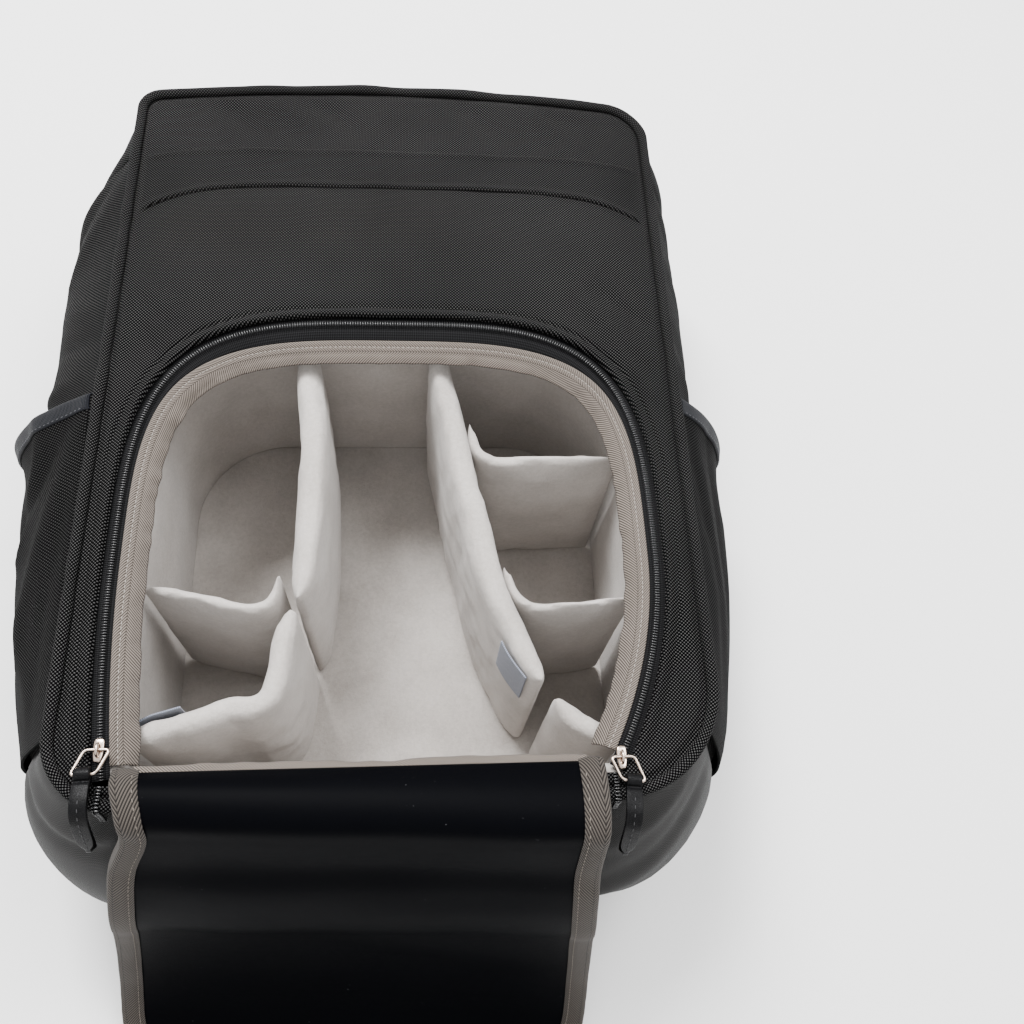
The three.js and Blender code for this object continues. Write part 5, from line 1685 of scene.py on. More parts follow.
@dataclass
class Opening:
    """Zip, tape and binding round the opening."""

    body: BodyShape
    zip: ZipShape
    room: Compartment
    chain_width: float = 3.6
    tooth_pitch: float = 1.5
    tape: Ribbed = Ribbed()
    tooth: Ribbed = Ribbed(colour=(0.003, 0.003, 0.0035), light=(0.008, 0.008, 0.009), roughness=0.2, gloss=0.6)

    def build(self) -> None:
        """Makes and dresses the opening's pieces."""
        Maker.dress(self.strip("zip_tape", 8.0, -3.9, 3.3, 0.8, 3.0), self.tape, "zip_tape", "zip_tape")
        Maker.dress(self.teeth(), self.tooth, "zip_teeth", "zip_chain")
        Maker.dress(self.binding(), Herringbone(), "binding_tape", "opening_binding")
        Maker.dress(self.binding_stitches(), Thread(), "binding_tape")
        Maker.dress(self.hinge_tape(), Herringbone(), "binding_tape", "hinge_binding")

    def shares_above(self, margin: float, count: int) -> Array:
        """Even shares of the U between two feet a margin above the hinge."""
        start, end = self.zip.feet(self.zip.hinge_y + margin)
        return np.linspace(start, end, count)

    def strip(
        self, name: str, outside: float, inside: float, depth: float, thickness: float, margin: float
    ) -> bpy.types.Object:
        """A flat tape beside the zip, from outside to inside, at a depth under the front."""
        u, v = mesh_grid(self.shares_above(margin, 420), shares(13))
        v = lerp(outside, inside - self.zip.inset(u), v)
        grid = self.zip.beside(u, v, depth)
        uv = np.stack([u * self.zip.route.length, v], axis=-1)
        return Maker.cloth(name, grid, thickness, uv=uv, flip=True)

    def teeth(self) -> bpy.types.Object:
        """The zip's teeth: small bars across the U, raised in the middle of the chain."""
        count = int(self.zip.route.length / self.tooth_pitch)
        share = self.shares_above(3.0, count)
        centre = self.zip.beside(share, np.zeros(count), 0.6)
        normal = self.zip.route.normal(share)
        across = np.column_stack([normal, np.zeros(count)])
        along = np.column_stack([normal[:, 1], -normal[:, 0], np.zeros(count)])
        return Maker.beads("zip_chain", centre, across, along, (1.7, 0.52, 0.8), sides=8)

    def binding_grid(self, u: Array, v: Array) -> Array:
        """The binding's face: a folded tape with a rounded section and slack waves."""
        zip_shape = self.zip
        width = zip_shape.binding_width
        across = lerp(-zip_shape.tape_inside - 0.4, -zip_shape.tape_inside - width, v) - zip_shape.inset(u)
        along = u * zip_shape.route.length
        crown = 1.5 * np.sqrt(np.clip(1 - np.abs(2 * v - 1) ** 3.0, 0, 1))
        stitch = 0.55 * bell((v - 0.30) / 0.05)
        slack = smooth((v - 0.45) / 0.55) * (0.55 * ripple(along, 0 * v, 26.0, 51) + 0.35 * ripple(along, 0 * v, 9.0, 52))
        droop = 1.6 * smooth((v - 0.5) / 0.5) ** 2
        grid = zip_shape.beside(u, across - 0.7 * slack, 2.4)
        grid[..., 2] += crown - stitch - droop + 0.5 * slack
        return grid

    def binding(self) -> bpy.types.Object:
        """The taupe tape round the opening, folded over the edge."""
        u, v = mesh_grid(self.shares_above(9.6, 620), shares(26))
        grid = self.binding_grid(u, v)
        uv = np.stack([u * self.zip.route.length, (v - 0.5) * self.zip.binding_width], axis=-1)
        return Maker.cloth("opening_binding", grid, 1.2, uv=uv, flip=True)

    def binding_stitches(self) -> bpy.types.Object:
        """A line of stitches along the binding."""
        count = int(self.zip.route.length / 3.0)
        u = self.shares_above(10.5, count)
        centre = self.binding_grid(u, np.full(count, 0.30)) + [0, 0, 0.12]
        along = np.gradient(centre, axis=0)
        along /= np.linalg.norm(along, axis=1, keepdims=True)
        across = np.cross(np.array([0.0, 0.0, 1.0]), along)
        return Maker.beads("binding_stitches", centre, along, across, (0.95, 0.3, 0.28))

    def hinge_tape(self) -> bpy.types.Object:
        """The tape over the insert's rim at the hinge, arched a little and uneven."""
        room, zip_shape = self.room, self.zip
        left = zip_shape.route.at(np.array([0.0]))[0, 0] + zip_shape.binding_width
        right = zip_shape.route.at(np.array([1.0]))[0, 0] - zip_shape.binding_width
        u, v = mesh_grid(shares(260), shares(20))
        x = lerp(left, right, u)
        wave = 0.8 * ripple(x, 0 * v, 60.0, 61) + 0.4 * ripple(x, 0 * v, 14.0, 62)
        near = zip_shape.hinge_y + room.wall + 0.3
        y = lerp(near + 1.5, near - room.wall, v) + 0.6 * wave
        rise = 2.6 * np.sin(np.pi * v) ** 0.7 + 6.0 * np.sin(np.pi * u) ** 0.8 * v
        z = room.rim_z + 0.5 + rise + wave * 0.5
        grid = np.stack([x, y, z], axis=-1)
        uv = np.stack([x, (v - 0.5) * 11.0], axis=-1)
        return Maker.cloth("hinge_binding", grid, 1.0, uv=uv, flip=True)


@dataclass
class Flap:
    """The front flap, folded over the bottom end and down to the ground."""

    body: BodyShape
    zip: ZipShape
    centre_x: float = -15.0
    skew: float = -12.0
    tilt: float = 12.0
    tilt_end: float = 0.06
    side_margin: float = 46.0
    flare: float = 18.0
    edge_pull: float = 10.0
    pull_share: float = 0.11
    length: float = 290.0
    shell: float = 3.0
    lining: float = 1.5
    binding_width: float = 13.0
    crest_rise: float = 10.0
    clearance: float = 3.0
    kick: float = 62.0
    round_end: float = 70.0
    squareness: float = 3.0
    # A darker copy of the opening's binding tape: painted shade on the flap, which faces away from the light.
    tape: Herringbone = Herringbone(pitch=2.0, light=(0.075, 0.064, 0.055), dark=(0.004, 0.0034, 0.0028))
    route: Route = field(init=False)

    def __post_init__(self) -> None:
        """Works out the flap's side view in Y and Z."""
        body, hinge = self.body, self.zip.hinge_y
        clear = self.shell / 2 + self.clearance
        crest = body.front_z + self.crest_rise
        seam_y = body.bottom_y - body.bottom_bow - body.piping_outset - body.piping
        levels = np.array([0.88, 0.8, 0.7, 0.6, 0.5])
        close = body.wall(np.zeros(5), levels, clear)[:, 1:]
        full_y, full_z = close[-1]
        fall = [(full_y - out * self.kick, up * full_z) for out, up in ((0.16, 0.62), (0.4, 0.3), (0.68, 0.11), (1, 0.036))]
        bend = spline(
            [
                (hinge + 3, body.front_z + self.shell / 2 - 2 * body.gap),
                (hinge - 4, crest),
                (seam_y, crest - 1),
                (seam_y - clear - 1, body.front_z - 1),
                *close,
                *fall,
            ],
            400,
        )
        bent = Route(bend)
        end_y, end_z = bend[-1]
        tail = np.linspace([end_y, end_z], [end_y - (self.length - bent.length), end_z], 60)[1:]
        self.route = Route(np.vstack([bend, tail]))

    def half_width(self, share: Array) -> Array:
        """Half the width at a share of the length, with the round far end."""
        flared = self.body.half_width - self.side_margin + self.flare * smooth((share - 0.12) / 0.7)
        end = np.clip(1 - (1 - share) * self.length / self.round_end, 0, 1)
        return flared * np.clip(1 - end**self.squareness, 0, 1) ** (1 / self.squareness)

    def point(self, share: Array, across: Array, lift: Array | float) -> Array:
        """A point of the flap: share along, distance from the middle line, lift."""
        yz = self.route.at(share)
        normal = self.route.normal(share, 5.0)
        place = (across / (self.body.half_width - self.side_margin) + 1) / 2
        pull = self.edge_pull * bell((share - self.pull_share) / 0.08) * np.clip(1 - place, 0, 1)
        x = self.centre_x + self.skew * share + across + pull
        tilt = self.tilt * place * smooth(share / self.tilt_end)
        yz = yz - normal * np.asarray(lift)[..., None] - np.stack([tilt, 0 * tilt], axis=-1)
        return np.concatenate([x[..., None], yz], axis=-1)

    def slack(self, share: Array, across: Array) -> Array:
        """Soft folds of the draped cloth: bands across near the crest, waves below."""
        along = share * self.length
        folds = relief(along, across, FLAP_CREASES)
        body = smooth((along - 12) / 30) * smooth((self.length - along) / 60)
        half = np.maximum(self.half_width(share), 1.0)
        calm = 0.12 + 0.88 * smooth((half - np.abs(across)) / 50)
        return (0.6 * folds + 0.6 * ripple(along * 0.6, across, 95.0, 71)) * body * calm

    def layer(self, name: str, lift: float, thickness: float, margin: float, flip: bool) -> bpy.types.Object:
        """One layer of cloth: rows along the length, crowded round the far end."""
        straight = 1 - self.round_end / self.length
        angle = np.pi / 2 * shares(26)[1:] * 0.985
        rows = np.r_[shares(110) * straight, 1 - (1 - straight) * (1 - np.sin(angle) ** (2 / self.squareness))]
        u, v = mesh_grid(rows, edge_shares(90, 0.4))
        half = self.half_width(u) - margin
        across = lerp(-half, half, v)
        grid = self.point(u, across, lift + self.slack(u, across))
        uv = np.stack([u * self.length, across], axis=-1)
        return Maker.cloth(name, grid, thickness, uv=uv, flip=flip)

    def edge_route(self) -> Route:
        """The flap's edge, flat: distance along and distance across."""
        rows = 1 - (1 - np.sin(np.pi / 2 * shares(60))) * 1.0
        share = np.unique(np.r_[shares(160) * 0.76, 0.76 + 0.24 * rows**0.5, 0.9999])
        left = np.column_stack([share * self.length, -self.half_width(share)])
        right = (left * [1, -1])[::-1]
        return Route(np.vstack([left, right]))

    def binding(self) -> list[bpy.types.Object]:
        """The taupe tape folded over the flap's free edge, in two halves that meet at its far end.

        Its section runs from under the shell, round the edge and in over the lining.
        """
        edge = self.edge_route()
        top = self.shell / 2 + self.body.gap + self.lining + 0.4
        width = self.binding_width
        section = [
            (7.0, -self.shell / 2 - 0.9), (3.0, -self.shell / 2 - 1.0), (0.4, -self.shell / 2 - 0.8), (-0.9, -0.8),
            (-1.1, 0.8), (-0.8, 2.2), (0.2, top + 1.1), (2.0, top + 1.6), (4.5, top + 1.9), (6.5, top + 1.95),
            (8.6, top + 1.85), (10.6, top + 1.35), (12.1, top + 0.85), (width, top + 0.45),
        ]
        profile = Route(spline(section, 60))
        v = edge_shares(34, 0.0)
        line = profile.at(v)
        spine = 0.62
        pieces = []
        for name, start, end, point in (
            ("flap_binding_left", 0.0, 0.5, 1),
            ("flap_binding_right", 0.5, 1.0, -1),
        ):
            u, vv = mesh_grid(np.linspace(start, end, 420), v)
            inset = np.broadcast_to(line[:, 0], u.shape)
            lift = np.broadcast_to(line[:, 1], u.shape)
            flat = edge.offset(u, inset, 6.0)
            along, across = flat[..., 0], flat[..., 1]
            uneven = 0.35 * ripple(u * edge.length, 0 * vv, 30.0, 81)
            drape = self.slack(np.clip(along / self.length, 0, 1), across)
            grid = self.point(along / self.length, across + 0 * inset, lift + drape + uneven * 0.5)
            uv = np.stack([u * edge.length * point, (vv - spine) * profile.length], axis=-1)
            pieces.append(Maker.cloth(name, grid, 0.7, uv=uv, flip=False))
        return pieces

    def stitches(self) -> bpy.types.Object:
        """A line of stitches along the binding's inner third."""
        edge = self.edge_route()
        count = int(edge.length / 3.0)
        u = np.linspace(0.01, 0.99, count)
        flat = edge.offset(u, np.full(count, self.binding_width * 0.8), 6.0)
        lift = self.shell / 2 + self.body.gap + self.lining + 2.0
        drape = self.slack(np.clip(flat[:, 0] / self.length, 0, 1), flat[:, 1])
        centre = self.point(flat[:, 0] / self.length, flat[:, 1], lift + drape)
        along = np.gradient(centre, axis=0)
        along /= np.linalg.norm(along, axis=1, keepdims=True)
        across = np.cross(along, np.array([1.0, 0.3, 0.2]))
        across /= np.linalg.norm(across, axis=1, keepdims=True)
        return Maker.beads("flap_stitches", centre, along, across, (0.95, 0.3, 0.3))

    def build(self) -> None:
        """Makes and dresses the flap."""
        high = self.shell / 2
        shell = self.layer("flap_shell", high, self.shell, 0.0, False)
        Maker.dress(shell, BasketWeave(), "shell_cloth", "flap_shell")
        lining = self.layer("flap_lining", high + self.body.gap + self.lining, self.lining, 0.3, False)
        Maker.dress(lining, Satin(), "lining_cloth", "flap_lining")
        edges = self.binding()
        for piece in edges:
            # The flap's tape is the darker copy of the binding tape: painted shade.
            Maker.dress(piece, self.tape, "binding_tape", "flap_binding")
        seam = self.stitches()
        # A darker copy of the binding thread: painted shade, as on the flap's tape.
        Maker.dress(seam, Thread(colour=(0.16, 0.14, 0.12)), "binding_tape")
        share = shares(400)
        half = self.half_width(share)


FLAP_CREASES: tuple[Crease, ...] = (
    Crease(26, -110, 34, 96, 9.0, 1.4),
    Crease(52, -70, 62, 110, 12.0, -1.8),
    Crease(78, -112, 84, 20, 14.0, 1.6),
    Crease(104, -20, 96, 116, 12.0, 1.5),
    Crease(130, -110, 150, -10, 18.0, -2.0),
    Crease(150, 20, 176, 120, 18.0, 2.0),
    Crease(190, -110, 200, 30, 20.0, 1.5),
)


@dataclass
class SidePocket:
    """An open pocket on one side of the bag, with the tape round its mouth."""

    body: BodyShape
    side: Side
    standoff: float
    cloth: float = 1.6
    hem: float = 10.0
    # The pocket's face is a darker copy of the shell cloth: painted shade.
    face: BasketWeave = BasketWeave(light=(0.033, 0.0325, 0.032))
    hem_tape: Ribbed = Ribbed(colour=(0.0015, 0.0018, 0.003), light=(0.006, 0.007, 0.011), pitch=0.8, roughness=0.45, gloss=0.08)

    def point(self, u: Array, v: Array, lift: Array | float) -> Array:
        """Points of the pocket: the wall plus a stand-off that fades to its closed end."""
        body = self.body
        end = body.bottom_y + body.base_seams[0 if self.side is Side.LEFT else 1]
        y = lerp(body.pocket_mouth, end, np.clip(u, 0, 1))
        start, stop = (0.1, 0.42) if self.side is Side.LEFT else (0.9, 0.55)
        trial = np.linspace(start, stop, 900)
        table = body.outline.at(trial)[:, 1]
        order = np.argsort(table)
        share = np.interp(y, table[order], trial[order])
        level = lerp(0.04, 0.955, v)
        stand = self.standoff * (1 - np.clip(u, 0, 1) ** 2.5) * np.clip(np.sin(np.pi * v), 0, 1) ** 0.7
        return body.wall(share, level, 2 * body.gap + stand + lift)

    def folds(self, u: Array, v: Array) -> Array:
        """Folds that run from the mouth's corners down the pocket."""
        along, height = u * 200.0, v * 170.0
        fade = np.clip(np.sin(np.pi * v), 0, 1) ** 0.5 * (1 - u**4)
        folds = relief(along, height, POCKET_CREASES[self.side])
        return (1.4 * folds + 0.6 * ripple(along, height, 60.0, 91)) * fade

    def build(self) -> None:
        """Makes and dresses the pocket and its tape."""
        name = self.side.value
        u, v = mesh_grid(shares(110), edge_shares(84, 0.35))
        grid = self.point(u, v, self.cloth + self.folds(u, v))
        uv = np.stack([u * 202.0, v * 190.0], axis=-1)
        flip = self.side is Side.RIGHT
        pocket = Maker.cloth(f"pocket_{name}", grid, self.cloth, uv=uv, flip=flip)
        Maker.dress(pocket, self.face, "shell_cloth", f"pocket_{name}")
        Maker.dress(self.tape(flip), self.hem_tape, "hem_tape", f"pocket_hem_{name}")
        Maker.dress(self.stitches(), Thread(colour=(0.10, 0.10, 0.11)), "hem_tape")

    def tape(self, flip: bool) -> bpy.types.Object:
        """The mouth's tape: a flattened loop folded over the pocket's edge."""
        section = np.array(
            [[self.hem, 0.5], [self.hem - 0.6, 1.5], [5.0, 1.9], [1.2, 1.7], [-0.5, 1.0], [-0.9, 0.0], [-0.4, -1.6],
             [1.5, -2.4], [5.0, -2.4], [8.0, -2.3]]
        )
        line = Route(spline(section, 60)).at(shares(26))
        j, v = mesh_grid(np.arange(26), edge_shares(110, 0.3))
        inset, lift = line[j.astype(int), 0], line[j.astype(int), 1]
        u = inset / 202.0
        edge = self.point(u, v, self.cloth + lift + self.folds(np.clip(u, 0, 1), v))
        edge[..., 1] += np.where(inset < 0, -inset, 0.0)
        uv = np.stack([v * 190.0, inset], axis=-1)
        return Maker.cloth(f"pocket_hem_{self.side.value}", edge, 0.6, uv=uv, flip=not flip)

    def stitches(self) -> bpy.types.Object:
        """Stitches near the tape's lower edge."""
        count = 64
        v = np.linspace(0.02, 0.98, count)
        u = np.full(count, (self.hem - 1.6) / 202.0)
        centre = self.point(u, v, self.cloth + 1.75 + self.folds(u, v))
        along = np.gradient(centre, axis=0)
        along /= np.linalg.norm(along, axis=1, keepdims=True)
        across = np.tile([0.0, 1.0, 0.0], (count, 1))
        return Maker.beads(f"pocket_stitches_{self.side.value}", centre, along, across, (0.9, 0.28, 0.28))


POCKET_CREASES: dict[Side, tuple[Crease, ...]] = {
    Side.LEFT: (
        Crease(4, 165, 96, 96, 7.0, -4.0),
        Crease(2, 140, 84, 118, 6.0, 3.0),
        Crease(10, 172, 150, 128, 8.0, 3.4),
        Crease(30, 168, 190, 150, 5.0, -2.6),
        Crease(60, 90, 176, 118, 9.0, -2.5),
        Crease(120, 130, 196, 148, 7.0, 2.5),
    ),
    Side.RIGHT: (
        Crease(6, 168, 110, 150, 6.0, -3.0),
        Crease(20, 160, 170, 134, 7.0, 2.6),
        Crease(10, 140, 120, 112, 8.0, -2.6),
        Crease(90, 156, 194, 158, 6.0, 2.4),
        Crease(60, 100, 170, 92, 11.0, 2.2),
    ),
}


@dataclass
class Pull:
    """One zip end: slider, wire ring, leather tab and the tail of the zip."""

    body: BodyShape
    zip: ZipShape
    side: Side
    reach: float
    ring_angle: float
    tab_angle: float
    slider_size: tuple[float, float, float] = (12.0, 5.0, 5.5)
    wire: float = 0.8
    ring_width: float = 12.0
    ring_length: float = 13.0
    tab_width: float = 8.0
    tab_length: float = 40.0
    tab_thickness: float = 2.4
    tail_length: float = 26.0

    def _plan(self, degrees: float) -> Array:
        """A unit direction in plan."""
        angle = math.radians(degrees)
        return np.array([math.cos(angle), math.sin(angle), 0.0])

    def _places(self) -> tuple[Array, Array, Array]:
        """The slider's seat, the ring's bridge and the bar that holds the tab."""
        y = self.zip.hinge_y + self.reach
        start, end = (0.0, 0.4) if self.side is Side.LEFT else (1.0, 0.6)
        share = self.zip.route.share_at_y(y, start, end)
        x, y = self.zip.route.at(np.array([share]))[0]
        z = float(self.body.front(np.array(x), np.array(y))) + self.body.gap
        seat = np.array([x, y, z])
        bridge = seat + [0, 0, self.slider_size[2] * 0.36 + self.wire + 2 * self.body.gap]
        bar = bridge + self._plan(self.ring_angle) * self.ring_length
        bar[2] = self.body.front_z + self.body.piping + self.wire + self.tab_thickness / 2 + 2 * self.body.gap
        return seat, bridge, bar

    def build(self) -> None:
        """Makes and dresses the pieces of the zip's end."""
        name = self.side.value
        metal = Metal()
        Maker.dress(self.slider(), metal, "pull_metal", f"slider_{name}")
        Maker.dress(self.ring(), metal, "pull_metal", f"pull_ring_{name}")
        Maker.dress(self.tab(), Leather(), "pull_leather", f"pull_tab_{name}")
        Maker.dress(self.tab_stitches(), Thread(colour=(0.05, 0.05, 0.052)), "pull_leather")
        Maker.dress(self.tail(), Ribbed(colour=(0.003, 0.003, 0.0035), light=(0.008, 0.008, 0.009), roughness=0.2, gloss=0.6), "zip_teeth", f"zip_tail_{name}")

    def slider(self) -> bpy.types.Object:
        """The slider: a rounded plate with a bridge that arches over the ring."""
        seat, _, _ = self._places()
        length, width, height = self.slider_size
        plate_h = height * 0.36
        u, v = mesh_grid(np.linspace(-1, 1, 33), np.linspace(-np.pi, np.pi, 33)[:-1])
        taper = np.clip(1 - np.abs(u) ** 6, 0, 1) ** (1 / 3)
        cos, sin = np.cos(v), np.sin(v)
        square = 0.45
        x = width / 2 * np.sign(cos) * np.abs(cos) ** square * taper * (1 - 0.25 * smooth(-u))
        z = plate_h / 2 * np.sign(sin) * np.abs(sin) ** square * taper
        body = np.stack([x, u * length / 2, z + plate_h / 2], axis=-1)
        arch = spline([(-3.2, 1.4), (-2.9, 3.6), (-1.6, 5.0), (1.6, 5.0), (2.9, 3.6), (3.2, 1.4)], 28)
        path = np.column_stack([np.zeros(28), arch[:, 0], arch[:, 1]])
        bridge = Maker.sweep(path, 0.75, 12, False, np.array([1.0, 0.0, 0.0]))
        grids = [(body + seat, True), (bridge + seat, False)]
        vertices, faces, base = [], [], 0
        for grid, _ in grids:
            nu, nv = grid.shape[:2]
            block = Maker.quads(nu, nv, wrap_v=True).tolist()
            block += [list(range(nv)), list(range(nu * nv - 1, (nu - 1) * nv - 1, -1))]
            faces += [[k + base for k in f] for f in block]
            vertices.append(grid.reshape(-1, 3))
            base += nu * nv
        return Maker.mesh(f"slider_{self.side.value}", np.vstack(vertices), faces)

    def ring(self) -> bpy.types.Object:
        """The wire ring between the slider's bridge and the tab."""
        _, bridge, bar = self._places()
        half = self.ring_width / 2
        sideways = self._plan(self.tab_angle + 90)
        corners = [
            bridge + [-half, 0, 0], bridge + [half, 0, 0], bar + sideways * half, bar - sideways * half,
        ]
        rows = []
        for i, corner in enumerate(corners):
            before = corners[i - 1] - corner
            after = corners[(i + 1) % 4] - corner
            before, after = before / np.linalg.norm(before), after / np.linalg.norm(after)
            radius = 2.4
            t = shares(8)[:, None]
            p0, p2 = corner + before * radius, corner + after * radius
            rows.append((1 - t) ** 2 * p0 + 2 * t * (1 - t) * corner + t**2 * p2)
        return Maker.tube(f"pull_ring_{self.side.value}", np.vstack(rows), self.wire, sides=12, closed=True)

    def _tab_frame(self, run: Array, rise: Array, across: Array) -> Array:
        """Points of the tab: its run and rise in its own plane, and across it."""
        _, _, bar = self._places()
        along = self._plan(self.tab_angle)
        sideways = np.cross(np.array([0.0, 0.0, 1.0]), along)
        up = np.array([0.0, 0.0, 1.0])
        return bar + along * run[..., None] + up * rise[..., None] + sideways * across[..., None]

    def _tab_line(self) -> Route:
        """The tab's middle line: it rises over the piping and falls down the base."""
        size = self.tab_length
        rows = (
            (0.0, 0.0), (0.15, 0.03), (0.28, 0.055), (0.42, 0.05), (0.53, -0.02), (0.62, -0.16), (0.72, -0.36), (0.80, -0.55),
        )
        return Route(spline([(run * size, rise * size) for run, rise in rows], 200))

    def tab(self) -> bpy.types.Object:
        """The leather tab: a loop round the ring's bar, then a strip with a round end."""
        line = self._tab_line()
        half_t, half_w = self.tab_thickness / 2, self.tab_width / 2
        loop = arc(0, 0, self.wire + 0.3 + half_t * 2, 200, 20, 14)
        upper = line.offset(np.linspace(0.12, 1.0, 60), np.full(60, half_t))
        lower = line.offset(np.linspace(1.0, 0.12, 60), np.full(60, -half_t))
        low_loop = arc(0, 0, self.wire + 0.3 + half_t * 2, 300, 205, 8)
        outline = Route(spline(np.vstack([loop, upper[::4], upper[-1:], lower[::4], low_loop]), 260), closed=True)
        u, v = mesh_grid(shares(200)[:-1], edge_shares(15, 0.8))
        section = outline.at(u)
        reach = section[..., 0] / line.points[:, 0].max()
        end = np.clip(1 - np.clip((reach - 0.86) / 0.14, 0, 1) ** 2.4 * 0.93, 0.07, 1) ** (1 / 2.4)
        across = lerp(-half_w, half_w, v) * end * lerp(0.9, 1.0, smooth(reach * 4))
        puff = 0.22 * (1 - (2 * v - 1) ** 4)
        normal = outline.normal(u)
        section = section + normal * puff[..., None]
        grid = self._tab_frame(section[..., 0], section[..., 1], across)
        nu, nv = grid.shape[:2]
        faces = Maker.quads(nu, nv, wrap_u=True, flip=True).tolist()
        faces.append([k * nv for k in range(nu)])
        faces.append([k * nv + nv - 1 for k in range(nu)][::-1])
        return Maker.mesh(f"pull_tab_{self.side.value}", grid.reshape(-1, 3), faces)

    def tab_stitches(self) -> bpy.types.Object:
        """A row of stitches down the tab's middle."""
        line = self._tab_line()
        share = np.linspace(0.22, 0.92, 10)
        spot = line.offset(share, np.full(10, self.tab_thickness / 2 + 0.3))
        centre = self._tab_frame(spot[:, 0], spot[:, 1], np.zeros(10))
        along = np.gradient(centre, axis=0)
        along /= np.linalg.norm(along, axis=1, keepdims=True)
        across = np.cross(along, np.cross(np.array([0.0, 0.0, 1.0]), along))
        across /= np.linalg.norm(across, axis=1, keepdims=True)
        return Maker.beads(f"tab_stitches_{self.side.value}", centre, along, across, (0.9, 0.25, 0.25))

    def tail(self) -> bpy.types.Object:
        """The zip's closed end, over the piping and down the base."""
        body = self.body
        foot_x = float(self.zip.route.at(np.array([0.0 if self.side is Side.LEFT else 1.0]))[0, 0])
        share = -foot_x / body.outline.length
        y0 = float(body.outline.at(np.array([share]))[0, 1])
        over = arc(y0 - body.piping_outset, body.front_z, body.piping + body.gap, 100, 195, 7)
        down = body.wall(np.full(4, share), np.array([0.955, 0.93, 0.9, 0.87]), 0.6)[:, 1:]
        start = [[self.zip.hinge_y, body.front_z + body.dome * 0.3 + 0.3]]
        route = Route(spline(np.vstack([start, over, down]), 160))
        count = int(self.tail_length / 1.5)
        share_along = np.linspace(0.02, min(self.tail_length / route.length, 1.0), count)
        spot = route.offset(share_along, np.full(count, -0.5))
        centre = np.column_stack([np.full(count, foot_x), spot])
        run = np.gradient(spot, axis=0)
        run /= np.linalg.norm(run, axis=1, keepdims=True)
        along = np.tile([1.0, 0.0, 0.0], (count, 1))
        across = np.column_stack([np.zeros(count), run])
        return Maker.beads(f"zip_tail_{self.side.value}", centre, along, across, (1.7, 0.52, 0.7), sides=8)


